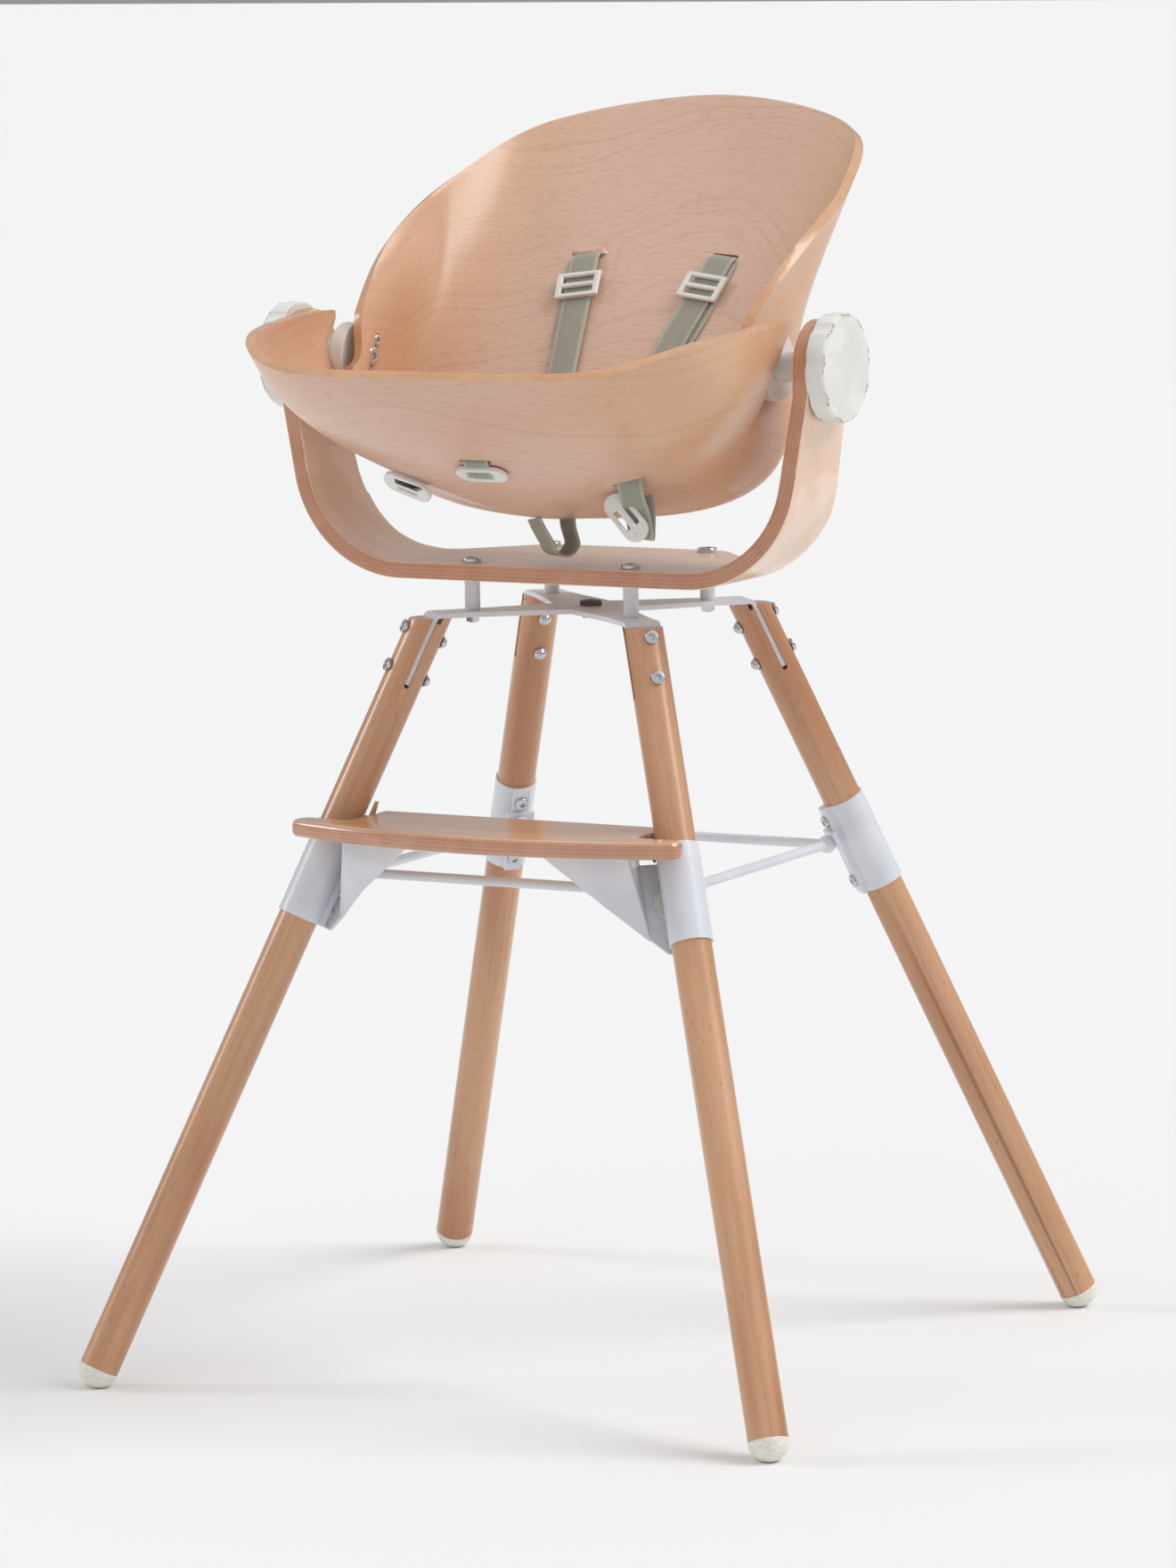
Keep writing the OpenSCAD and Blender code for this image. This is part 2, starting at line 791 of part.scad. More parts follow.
// The wing's upper corner is rounded: near its end the columns stop short of the rim.
corner_u = 2.5;
corner_cut = 0.08;
function top_v(front, u) =
    front && u > corner_u ? 1 - corner_cut * (1 - sqrt(1 - pow((u - corner_u) / (3 - corner_u), 2))) : 1;
function row_v(front, u, w) =
    w <= slit_root ? w : slit_root + (w - slit_root) * (top_v(front, u) - slit_root) / (1 - slit_root);
function sheet_point(c, r, depth) =
    let (
        k = column(c), v = row_v(k[0], k[1], r / rows),
        p = skin(k[0], k[1], v) + depth * inwards(k[0], k[1], v)
    ) k[2] ? flip(p) : p;
// The columns on either side of the slits share their points up to the slit's root.
right_slit = front_n + 1;
left_slit = front_n + 1 + 2 * back_n;
root_row = rows * slit_root;
function shared(c, r) =
    r <= root_row && c % ring_n == right_slit ? front_n
    : r <= root_row && c % ring_n == left_slit ? left_slit + 1
    : c % ring_n;
function id(side, c, r) = r == 0 ? side : 2 + side * ring_n * rows + shared(c, r) * rows + r - 1;
function is_slit(c) = c == front_n || c == left_slit;
function quad(a, b, c, d) =
    concat(a == b || b == c || c == a ? [] : [[a, b, c]], a == c || c == d || d == a ? [] : [[a, c, d]]);

module sheet() {
    points = concat(
        [SHELL_LOW, SHELL_LOW + [0, 0, shell_t]],
        [for (c = [0:ring_n - 1], r = [1:rows]) sheet_point(c, r, 0)],
        [for (c = [0:ring_n - 1], r = [1:rows]) sheet_point(c, r, shell_t)]
    );
    faces = concat(
        [for (c = [0:ring_n - 1]) if (!is_slit(c)) for (r = [0:rows - 1])
            each quad(id(0, c, r), id(0, c + 1, r), id(0, c + 1, r + 1), id(0, c, r + 1))],
        [for (c = [0:ring_n - 1]) if (!is_slit(c)) for (r = [0:rows - 1])
            each quad(id(1, c, r + 1), id(1, c + 1, r + 1), id(1, c + 1, r), id(1, c, r))],
        [for (c = [0:ring_n - 1]) if (!is_slit(c))
            each quad(id(0, c, rows), id(0, c + 1, rows), id(1, c + 1, rows), id(1, c, rows))],
        [for (c = [0:ring_n - 1]) if (is_slit(c)) for (r = [root_row:rows - 1])
            each concat(
                quad(id(0, c, r), id(0, c, r + 1), id(1, c, r + 1), id(1, c, r)),
                quad(id(1, c + 1, r), id(1, c + 1, r + 1), id(0, c + 1, r + 1), id(0, c + 1, r))
            )]
    );
    polyhedron(points = points, faces = faces, convexity = 10);
}

// ---- harness: webbing lies along straight lines inside the back ----
STRAP_TOP = [63, 122, 892];
STRAP_LOW = [38, 20, 783];
strap_len = norm(STRAP_LOW - STRAP_TOP);
strap_tilt = atan2(STRAP_TOP[2] - STRAP_LOW[2], STRAP_TOP[1] - STRAP_LOW[1]);
strap_skew = asin((STRAP_TOP[0] - STRAP_LOW[0]) / strap_len);

// Frame of the right strap: origin at its top, -Y down the strap, +Z into the seat
module at_strap() {
    translate(STRAP_TOP)
        rotate([strap_tilt, 0, 0])
            rotate([0, 0, -strap_skew])
                children();
}

// Height of the webbing above the line between its ends
strap_lift = 2;

module strap_slots() {
    for (m = [0, 1])
        mirror([m, 0, 0])
            at_strap()
                translate([0, 3, 0])
                    cube([web_w + 5, 6, 60], center = true);
}

module seat_shell() {
    color(VENEER)
        difference() {
            sheet();
            strap_slots();
            both_sides()
                at_pivot() {
                    rod_x(0, u_x, stud_r + 0.2);
                    rod_x(hub_x - 0.1, 20, hub_r + 0.3);
                    rod_x(100, stud_x - 100, 8.4);
                    at_hub_screws()
                        rod_x(100, stud_x - 100, 5.4);
                }
        }
}

module shoulder_strap() {
    color(WEBBING)
        at_strap()
            translate([-web_w / 2, -strap_len, strap_lift])
                cube([web_w, strap_len, web_t]);
}

// Ladder lock: a frame with a middle bar, riding on top of the webbing
slider_w = 38;
slider_l = 26;
slider_t = 3.5;
slider_bar = 4;
slider_at = 36;

module strap_slider() {
    window = (slider_l - 3 * slider_bar) / 2;
    color(WHITE_PLASTIC)
        at_strap()
            translate([-slider_w / 2, -slider_at - slider_l / 2, strap_lift + web_t + gap])
                difference() {
                    cube([slider_w, slider_l, slider_t]);
                    for (n = [0, 1])
                        translate([slider_bar + 1, slider_bar + n * (window + slider_bar), -1])
                            cube([slider_w - 2 * slider_bar - 2, window, slider_t + 2]);
                }
}

// Oval toggles that keep the harness from slipping back through the shell
toggle_l = 44;
toggle_w = 21;
toggle_t = 4.5;

module toggle() {
    color(WHITE_PLASTIC)
        translate([0, 0, -toggle_t / 2])
            difference() {
                linear_extrude(toggle_t)
                    slot_shape(toggle_l, toggle_w);
                for (s = [-1, 1])
                    translate([-9, s * 4.4 - 1.75, -1])
                        cube([18, 3.5, toggle_t + 2]);
            }
}

// Places just outside the shell, each with its tilt
module toggle_left() {
    translate([-90, -141.5, 722])
        rotate([-48.6, 17.6, 0])
            toggle();
}

module toggle_center() {
    translate([0, -182.6, 738.1])
        rotate([-31, 0, 0])
            toggle();
}

module toggle_right() {
    translate([95.5, -121, 701.5])
        rotate([0, 0, 24])
            rotate([80, 0, 0])
                rotate([0, 0, -52])
                    toggle();
}

// A band folded into a loop that hangs below its two ends
module hanging_loop(width, span, drop) {
    rotate([90, 0, 90])
        translate([0, 0, -width / 2])
            linear_extrude(width) {
                translate([0, -drop + span / 2])
                    difference() {
                        circle(r = span / 2);
                        circle(r = span / 2 - web_t);
                        translate([-span, 0])
                            square([2 * span, span]);
                    }
                for (s = [-1, 1])
                    translate([s * (span - web_t) / 2 - web_t / 2, -drop + span / 2])
                        square([web_t, drop - span / 2]);
            }
}

module crotch_strap_loop() {
    color(WEBBING)
        translate([1, -64, 691])
            rotate([0, 0, -47])
                hanging_loop(web_w, 26, 29);
}

module side_strap_tail() {
    color(WEBBING)
        translate([101, -108, 716.8])
            rotate([0, 0, 20])
                hanging_loop(20, 12, 34);
}

// ---- hubs, studs and their bolts, drawn on the right and mirrored ----
hub_x = 184.6;
stud_x = 174;
hub_t = 13;
neck_r = 12;
// The two small screws stand on a slanted line through the pivot.
screw_line = 57;
screw_pitch = 30;

module at_hub_screws() {
    for (s = [-1, 1])
        rotate([screw_line, 0, 0])
            translate([0, s * screw_pitch / 2, 0])
                children();
}

module at_pivot() {
    translate([0, -pivot_y, pivot_z])
        children();
}

module hub() {
    color(WHITE_PLASTIC)
        at_pivot()
            difference() {
                union() {
                    rod_x(hub_x, hub_t, hub_r);
                    rod_x(hub_x, arm_in - gap - hub_x, neck_r);
                }
                rod_x(hub_x - 1, u_x, stud_r + 0.1);
            }
}

module pivot_stud() {
    color(CHROME)
        at_pivot()
            rod_x(stud_x, u_x + knob_t - 6 - stud_x, stud_r);
}

// One large bolt on the pivot's axis and two screws beside it, inside the shell
module hub_bolts() {
    color(CHROME)
        at_pivot()
            translate([stud_x - 0.2, 0, 0])
                rotate([0, -90, 0])
                    socket_head(8, 4);
}

module hub_screws() {
    color(CHROME)
        at_pivot()
            at_hub_screws()
                translate([stud_x - 0.2, 0, 0])
                    rotate([0, -90, 0])
                        socket_head(5, 3);
}

// ---- hand knobs: round, with shallow scallops and an eased rim ----
knob_scallops = 9;
knob_edge = 3;

module hand_knob() {
    color(WHITE_PLASTIC)
        at_pivot()
            translate([u_x + gap, 0, 0])
                rotate([0, 90, 0])
                    difference() {
                        rotate_extrude($fn = 96)
                            union() {
                                square([knob_r - knob_edge, knob_t]);
                                square([knob_r, knob_t - knob_edge]);
                                translate([knob_r - knob_edge, knob_t - knob_edge])
                                    circle(r = knob_edge);
                            }
                        for (n = [0:knob_scallops - 1])
                            rotate([0, 0, (n + 0.5) * 360 / knob_scallops])
                                translate([knob_r + 17.5, 0, -1])
                                    cylinder(r = 19, h = knob_t + 2);
                        translate([0, 0, -1])
                            cylinder(r = stud_r + run_fit, h = knob_t - 4);
                    }
}

module both_sides() {
    children();
    mirror([1, 0, 0])
        children();
}

lower_leg(FRONT_LEFT);  // lower_leg_front_left
lower_leg(FRONT_RIGHT);  // lower_leg_front_right
lower_leg(REAR_LEFT);  // lower_leg_rear_left
lower_leg(REAR_RIGHT);  // lower_leg_rear_right
upper_leg(FRONT_LEFT);  // upper_leg_front_left
upper_leg(FRONT_RIGHT);  // upper_leg_front_right
upper_leg(REAR_LEFT);  // upper_leg_rear_left
upper_leg(REAR_RIGHT);  // upper_leg_rear_right
foot_cap(FRONT_LEFT);  // foot_cap_front_left
foot_cap(FRONT_RIGHT);  // foot_cap_front_right
foot_cap(REAR_LEFT);  // foot_cap_rear_left
foot_cap(REAR_RIGHT);  // foot_cap_rear_right
leg_sleeve(FRONT_LEFT);  // leg_sleeve_front_left
leg_sleeve(FRONT_RIGHT);  // leg_sleeve_front_right
leg_sleeve(REAR_LEFT);  // leg_sleeve_rear_left
leg_sleeve(REAR_RIGHT);  // leg_sleeve_rear_right
leg_rod(180);  // leg_rod_front
leg_rod(0);  // leg_rod_rear
leg_rod(90);  // leg_rod_left
leg_rod(270);  // leg_rod_right
sleeve_bolts();
rod_corner_tabs();
cross_plate();
center_bolt();
leg_top_bolts();
leg_top_nuts();
standoffs();
bracket_bolts();
bracket_nuts();
u_bracket();
footrest_board();
footrest_bracket();  // footrest_bracket_left
mirror([1, 0, 0]) footrest_bracket();  // footrest_bracket_right
footrest_screws();
bracket_spacers();
footrest_wheel();  // footrest_wheel_left
mirror([1, 0, 0]) footrest_wheel();  // footrest_wheel_right
seat_shell();
mirror([1, 0, 0]) hub();  // hub_left
hub();  // hub_right
mirror([1, 0, 0]) pivot_stud();  // pivot_stud_left
pivot_stud();  // pivot_stud_right
both_sides() hub_bolts();
both_sides() hub_screws();
mirror([1, 0, 0]) shoulder_strap();  // shoulder_strap_left
shoulder_strap();  // shoulder_strap_right
crotch_strap_loop();
side_strap_tail();
toggle_left();
toggle_center();
toggle_right();
mirror([1, 0, 0]) strap_slider();  // strap_slider_left
strap_slider();  // strap_slider_right
mirror([1, 0, 0]) hand_knob();  // hand_knob_left
hand_knob();  // hand_knob_right
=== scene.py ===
"""Looks of the baby high chair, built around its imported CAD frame."""

import json
import math

import bpy
from mathutils import Matrix, Vector


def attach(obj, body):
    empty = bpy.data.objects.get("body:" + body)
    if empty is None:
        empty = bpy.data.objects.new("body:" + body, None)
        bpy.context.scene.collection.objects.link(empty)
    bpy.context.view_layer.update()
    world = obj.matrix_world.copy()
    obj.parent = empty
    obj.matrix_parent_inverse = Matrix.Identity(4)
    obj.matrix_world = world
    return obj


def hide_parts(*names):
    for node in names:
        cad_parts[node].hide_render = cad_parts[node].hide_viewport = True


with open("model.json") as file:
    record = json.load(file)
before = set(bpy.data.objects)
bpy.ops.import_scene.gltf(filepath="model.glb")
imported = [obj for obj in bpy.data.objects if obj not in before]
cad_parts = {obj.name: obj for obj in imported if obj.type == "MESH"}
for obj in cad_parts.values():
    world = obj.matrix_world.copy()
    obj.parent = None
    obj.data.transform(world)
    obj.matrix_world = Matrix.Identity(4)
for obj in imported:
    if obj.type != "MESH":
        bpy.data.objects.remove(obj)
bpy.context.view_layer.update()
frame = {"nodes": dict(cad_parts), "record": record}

MM = 0.001
NODES = frame["nodes"]
SLOTS = {row["node"]: row["material_slot"] for row in frame["record"]["subparts"]}

# ---- sizes shared with the CAD, in millimetres and degrees ----
LEAN = 25.811
TOP_R = 135.765
LEG_TOP = 612.0
PIVOT = Vector((0, -50, 818))
U_BASE = 641.5
U_T = 13.5
U_R = 98.0
U_X = 238.5
U_FLARE = 10.0
U_KINK = 796.0
BOARD_Z = 442.0
BOARD_T = 14.0
SHELL_T = 8.0
HUB_X = 184.6
STUD_X = 174.0
SCREW_LINE = 57.0
WEB_W = 25.0
WEB_T = 1.6
SIDE_WEB_W = 20.0
INSIDE_X = 120
STUB_W = 22.0
HUB_R = 27.8
BOLT_HEAD_R = 8.5
SCREW_HEAD_R = 5.5
SCREW_OUT = 15.0
STRAP_SLOT = (WEB_W + 1.4, 4.2, 60)
TOGGLE_SLOT = (29, 5, 40)
RIM_R = 2.3
EASE_ANGLE = 35
EASE_SEGMENTS = 3
FLOOR_HALF = 60000


def srgb(r, g, b):
    """A colour given in 0 to 255, as the linear RGBA that shaders use."""
    out = [c / 255 / 12.92 if c <= 10 else ((c / 255 + 0.055) / 1.055) ** 2.4 for c in (r, g, b)]
    return (*out, 1.0)


# ---- shader helpers ----
class Shader:
    """A material with a Principled BSDF and short ways to add and join nodes."""

    def __init__(self, name, rough=0.4, metal=0.0, **constants):
        self.mat = bpy.data.materials.new(name)
        self.mat.use_nodes = True
        self.nodes = self.mat.node_tree.nodes
        self.links = self.mat.node_tree.links
        self.bsdf = next(n for n in self.nodes if n.type == "BSDF_PRINCIPLED")
        self.bsdf.inputs["Roughness"].default_value = rough
        self.bsdf.inputs["Metallic"].default_value = metal
        for key, value in constants.items():
            self.bsdf.inputs[key.replace("_", " ")].default_value = value

    def put(self, socket, value):
        if isinstance(value, bpy.types.NodeSocket):
            self.links.new(value, socket)
        else:
            socket.default_value = value

    def node(self, kind, inputs=None, **props):
        n = self.nodes.new(kind)
        for key, value in props.items():
            setattr(n, key, value)
        for key, value in (inputs or {}).items():
            self.put(n.inputs[key], value)
        return n

    def math(self, op, a, b=0.0, c=0.0):
        n = self.node("ShaderNodeMath", {0: a, 1: b, 2: c}, operation=op)
        return n.outputs[0]

    def coords(self, scale=(1, 1, 1), rotation=(0, 0, 0), location=(0, 0, 0), source=None):
        source = source or self.node("ShaderNodeTexCoord").outputs["Object"]
        n = self.node("ShaderNodeMapping", {"Vector": source, "Location": location,
                                            "Rotation": rotation, "Scale": scale})
        return n.outputs["Vector"]

    def noise(self, vector, scale, detail=3.0, rough=0.5):
        n = self.node("ShaderNodeTexNoise", {"Vector": vector, "Scale": scale, "Detail": detail,
                                             "Roughness": rough})
        return n.outputs["Fac"]

    def remap(self, value, low, high, to_low=0.0, to_high=1.0, smooth=True):
        n = self.node("ShaderNodeMapRange", {"Value": value, "From Min": low, "From Max": high,
                                             "To Min": to_low, "To Max": to_high})
        n.interpolation_type = "SMOOTHSTEP" if smooth else "LINEAR"
        return n.outputs["Result"]

    def mix(self, fac, a, b):
        n = self.node("ShaderNodeMix", data_type="RGBA")
        self.put(n.inputs["Factor"], fac)
        self.put(n.inputs["A"], a)
        self.put(n.inputs["B"], b)
        return n.outputs["Result"]

    def bump(self, height, distance, strength=1.0):
        n = self.node("ShaderNodeBump", {"Height": height, "Distance": distance, "Strength": strength})
        return n.outputs["Normal"]

    def finish(self, color=None, rough=None, normal=None):
        for key, value in (("Base Color", color), ("Roughness", rough), ("Normal", normal)):
            if value is not None:
                self.put(self.bsdf.inputs[key], value)
        return self.mat


# ---- materials ----
VARNISH = dict(Coat_Weight=0.55, Coat_Roughness=0.16, Coat_IOR=1.5)


def fine_wood(s, along, light, dark, seed):
    """Fibres, pores and slow colour changes; along stretches the pattern down the grain."""
    tone = s.noise(s.coords(scale=(1, 1, 0.14), location=(seed, 0, 0), source=along), 26, 3)
    streak = s.noise(s.coords(scale=(1, 1, 0.035), location=(0, seed, 0), source=along), 210, 4, 0.6)
    pore = s.noise(s.coords(scale=(1, 1, 0.13), location=(seed, seed, 0), source=along), 900, 1)
    base = s.mix(s.remap(tone, 0.32, 0.72), light, dark)
    base = s.mix(s.remap(streak, 0.45, 0.75, 0, 0.55), base, dark)
    pores = s.remap(pore, 0.66, 0.76, 0, 0.5)
    deep = tuple(c * 0.45 for c in dark[:3]) + (1.0,)
    return s.mix(pores, base, deep), streak, pores


def leg_wood(leg, part):
    """Turned beech with its grain down the leg; the rear right lower leg also gets painted reflection
    streaks.
    """
    s = Shader(f"beech_{part}_{leg}", 0.36, **VARNISH)
    turn = math.radians(45 + 90 * leg)
    top = s.coords(rotation=(0, 0, -turn), location=(-TOP_R * MM, 0, -LEG_TOP * MM))
    along = s.coords(rotation=(0, math.radians(LEAN), 0), source=top)
    seed = 1.7 * leg + (0.6 if part == "upper" else 0.0)
    light, dark = srgb(208, 160, 122), srgb(180, 126, 88)
    color, streak, pores = fine_wood(s, along, light, dark, seed)
    # Rear right lower leg only: its dark streaks down the length are painted reflections in the varnish,
    # not grain.
    if leg == 0 and part == "lower":
        painted_reflection_bands = s.noise(s.coords(scale=(1, 1, 0.008), source=along), 120, 1)
        color = s.mix(s.remap(painted_reflection_bands, 0.52, 0.6, 0, 0.75), color, srgb(150, 92, 52))
    height = s.math("SUBTRACT", streak, s.math("MULTIPLY", pores, 0.9))
    return s.finish(color, s.remap(streak, 0.3, 0.8, 0.3, 0.46), s.bump(height, 0.00012, 0.5))


def veneer_grain(s, height_field, seed):
    """Thin irregular grain lines along the level lines of a height field."""
    line = s.node("ShaderNodeTexNoise", {"W": height_field, "Scale": 1.0, "Detail": 5.0,
                                         "Roughness": 0.62}, noise_dimensions="1D")
    figure = s.node("ShaderNodeTexNoise", {"W": s.math("MULTIPLY_ADD", height_field, 0.22, seed),
                                           "Scale": 1.0, "Detail": 2.0}, noise_dimensions="1D")
    return line.outputs["Fac"], figure.outputs["Fac"]


# Whorls of the veneer, each with its place on the back (mm), spread (mm) and strength
WHORLS = [
    ((-52, 98, 873), 20, 0.03), ((-96, 62, 858), 46, 0.055), ((60, 190, 965), 60, -0.05),
    ((10, 40, 800), 50, 0.03), ((60, -205, 765), 60, 0.03),
]


def shell_wood():
    """Maple-like veneer whose lines run round the whorls and across the shell."""
    s = Shader("shell_veneer", 0.38, Coat_Weight=0.35, Coat_Roughness=0.2, Coat_IOR=1.5)
    place = s.node("ShaderNodeTexCoord").outputs["Object"]
    along = s.node("ShaderNodeUVMap", uv_map="rib").outputs["UV"]
    parts = s.node("ShaderNodeSeparateXYZ", {"Vector": along})
    field = parts.outputs["Y"]
    for (x, y, z), spread, lift in WHORLS:
        far = s.node("ShaderNodeVectorMath", {0: place, 1: (x * MM, y * MM, z * MM)},
                     operation="DISTANCE").outputs["Value"]
        bell = s.remap(far, 0.0, 2.6 * spread * MM, lift, 0.0)
        field = s.math("ADD", field, bell)
    warp = s.noise(s.coords(), 4.5, 2, 0.5)
    field = s.math("ADD", field, s.math("MULTIPLY_ADD", warp, 0.07, -0.035))
    small = s.noise(s.coords(), 30, 3, 0.55)
    field = s.math("ADD", field, s.math("MULTIPLY_ADD", small, 0.006, -0.003))
    line, figure = veneer_grain(s, s.math("MULTIPLY", field, 760.0), 3.0)
    fiber = s.noise(s.coords(scale=(0.16, 1, 1)), 480, 4, 0.65)
    cloud = s.noise(s.coords(), 5.0, 2, 0.5)
    patch = s.noise(s.coords(), 17.0, 2, 0.5)
    pink, tan, deep = srgb(216, 181, 160), srgb(216, 168, 128), srgb(182, 134, 106)
    inward = s.node("ShaderNodeSeparateXYZ", {"Vector": place}).outputs["X"]
    side = s.remap(s.math("ABSOLUTE", inward), 0.08, 0.18)
    base = s.mix(s.math("MULTIPLY", side, 0.85), pink, tan)
    base = s.mix(s.remap(cloud, 0.4, 0.75, 0, 0.5), base, srgb(212, 170, 145))
    base = s.mix(s.remap(figure, 0.5, 0.75, 0, 0.2), base, deep)
    grain = s.math("MULTIPLY", s.remap(line, 0.52, 0.74), s.remap(patch, 0.35, 0.65, 0.04, 0.34))
    base = s.mix(grain, base, deep)
    base = s.mix(s.remap(fiber, 0.46, 0.74, 0, 0.42), base, deep)
    knot = s.node("ShaderNodeVectorMath", {0: place, 1: (-0.052, 0.098, 0.873)},
                  operation="DISTANCE").outputs["Value"]
    base = s.mix(s.remap(knot, 0.002, 0.016, 0.45, 0.0), base, srgb(160, 106, 78))
    rough = s.remap(line, 0.3, 0.8, 0.32, 0.46)
    return s.finish(base, rough, s.bump(fiber, 0.00005, 0.4))


def ply_colors(s, t, plies, along, pale, mid, dark):
    """Edge of plywood: t runs from 0 to 1 through the sheet, one band for each ply."""
    band = s.math("MULTIPLY", t, plies)
    odd = s.math("PINGPONG", band, 1.0)
    layer = s.remap(odd, 0.35, 0.65)
    glue = s.remap(s.math("ABSOLUTE", s.math("SUBTRACT", s.math("FRACT", band), 0.5)),
                   0.44, 0.5, 0.0, 0.22)
    speck = s.noise(along, 1400, 2, 0.6)
    tone = s.noise(along, 60, 2)
    base = s.mix(layer, mid, dark)
    base = s.mix(s.remap(tone, 0.35, 0.7, 0, 0.5), base, pale)
    base = s.mix(glue, base, tuple(c * 0.45 for c in dark[:3]) + (1.0,))
    return s.mix(s.remap(speck, 0.58, 0.7, 0, 0.35), base, tuple(c * 0.5 for c in dark[:3]) + (1.0,))


def shell_edge():
    """Cut edge of the shell, with its plies running along the rim."""
    s = Shader("shell_edge", 0.38, **VARNISH)
    uv = s.node("ShaderNodeUVMap", uv_map="rib").outputs["UV"]
    t = s.node("ShaderNodeSeparateXYZ", {"Vector": uv}).outputs["X"]
    color = ply_colors(s, t, 7, s.coords(), srgb(222, 174, 134), srgb(214, 164, 122), srgb(200, 146, 106))
    return s.finish(color, 0.36)


def bent_ply(name, thickness_of, plies, face_light, face_dark, coat):
    """Varnished ply sheet: a pale face veneer, and plies wherever the sheet is cut."""
    s = Shader(name, 0.34, Coat_Weight=coat, Coat_Roughness=0.12, Coat_IOR=1.5)
    t, along = thickness_of(s)
    face, streak, pores = fine_wood(s, along, face_light, face_dark, 4.2)
    edge = ply_colors(s, t, plies, s.coords(), srgb(206, 154, 124), srgb(198, 143, 112), srgb(184, 128, 98))
    inside = s.math("MULTIPLY", s.remap(t, 0.05, 0.07), s.remap(t, 0.93, 0.95, 1.0, 0.0))
    height = s.math("SUBTRACT", streak, s.math("MULTIPLY", pores, 0.8))
    color = s.mix(inside, face, edge)
    return s.finish(color, s.remap(streak, 0.3, 0.8, 0.28, 0.4), s.bump(height, 0.00008, 0.4))


def bracket_depth(s):
    """How far a point lies through the U-shaped strip, from its outer face, 0 to 1."""
    flare = math.radians(U_FLARE)
    cz = U_BASE + U_R
    end_z = cz - U_R * math.sin(flare)
    cx = U_X - U_R * math.cos(flare) - (U_KINK - end_z) * math.tan(flare)
    place = s.node("ShaderNodeTexCoord").outputs["Object"]
    p = s.node("ShaderNodeSeparateXYZ", {"Vector": place})
    x, z = s.math("ABSOLUTE", p.outputs["X"]), p.outputs["Z"]
    bulge = U_R * (1 / math.cos(flare) - 1) * MM
    lean_out = s.remap(z, end_z * MM, cz * MM, 0.0, bulge, smooth=False)
    rise = s.math("MAXIMUM", s.math("SUBTRACT", s.math("MINIMUM", z, U_KINK * MM), cz * MM), 0.0)
    lean_out = s.math("ADD", lean_out, s.math("MULTIPLY", rise, math.tan(flare)))
    dx = s.math("MAXIMUM", s.math("SUBTRACT", s.math("SUBTRACT", x, lean_out), cx * MM), 0.0)
    dz = s.math("MAXIMUM", s.math("SUBTRACT", cz * MM, z), 0.0)
    reach = s.math("SQRT", s.math("ADD", s.math("MULTIPLY", dx, dx), s.math("MULTIPLY", dz, dz)))
    t = s.math("DIVIDE", s.math("SUBTRACT", U_R * MM, reach), U_T * MM)
    # On the face the grain runs up the arms and along the base.
    return t, s.coords(rotation=(0, math.radians(90), 0))


def board_depth(s):
    """How far a point lies up through the footrest board, 0 to 1."""
    place = s.node("ShaderNodeTexCoord").outputs["Object"]
    z = s.node("ShaderNodeSeparateXYZ", {"Vector": place}).outputs["Z"]
    t = s.math("DIVIDE", s.math("SUBTRACT", z, BOARD_Z * MM), BOARD_T * MM)
    return t, s.coords(rotation=(0, math.radians(90), 0))


def white_steel():
    """Satin powder coat with a faint orange peel."""
    s = Shader("white_steel", 0.32, Coat_Weight=0.2, Coat_Roughness=0.15)
    peel = s.noise(s.coords(), 1600, 2)
    tone = s.noise(s.coords(), 30, 2)
    color = s.mix(s.remap(tone, 0.3, 0.7), srgb(222, 224, 230), srgb(212, 215, 222))
    return s.finish(color, s.remap(tone, 0.3, 0.7, 0.28, 0.38), s.bump(peel, 0.00003, 0.35))


def white_plastic():
    """Moulded gloss plastic with a fine moulding texture."""
    s = Shader("white_plastic", 0.28, Subsurface_Weight=0.08, Subsurface_Radius=(0.01, 0.009, 0.008))
    s.bsdf.inputs["Subsurface Scale"].default_value = 0.2
    grain = s.noise(s.coords(), 2200, 2)
    tone = s.noise(s.coords(), 45, 2)
    color = s.mix(s.remap(tone, 0.3, 0.7), srgb(232, 231, 227), srgb(222, 221, 216))
    return s.finish(color, s.remap(tone, 0.3, 0.7, 0.24, 0.36), s.bump(grain, 0.00002, 0.3))


def cap_plastic():
    """Soft, slightly see-through plastic of the foot caps."""
    s = Shader("foot_cap", 0.42, Subsurface_Weight=0.35, Subsurface_Radius=(0.006, 0.006, 0.005))
    s.bsdf.inputs["Subsurface Scale"].default_value = 0.5
    scuff = s.noise(s.coords(scale=(1, 1, 3)), 240, 4, 0.6)
    color = s.mix(s.remap(scuff, 0.35, 0.75), srgb(240, 238, 228), srgb(216, 214, 202))
    return s.finish(color, s.remap(scuff, 0.3, 0.7, 0.34, 0.55), s.bump(scuff, 0.00008, 0.3))


def chrome():
    """Polished screws with fine turning marks."""
    s = Shader("chrome", 0.16, 1.0)
    mark = s.noise(s.coords(scale=(1, 1, 6)), 1500, 2)
    color = s.mix(s.remap(mark, 0.3, 0.7), (0.66, 0.67, 0.69, 1), (0.5, 0.51, 0.53, 1))
    return s.finish(color, s.remap(mark, 0.3, 0.7, 0.1, 0.26), s.bump(mark, 0.00002, 0.3))


def dark_steel():
    """Blackened steel of the centre bolt."""
    s = Shader("dark_steel", 0.35, 1.0)
    mark = s.noise(s.coords(), 900, 2)
    color = s.mix(mark, (0.16, 0.16, 0.17, 1), (0.08, 0.08, 0.09, 1))
    return s.finish(color, s.remap(mark, 0.3, 0.7, 0.28, 0.45))


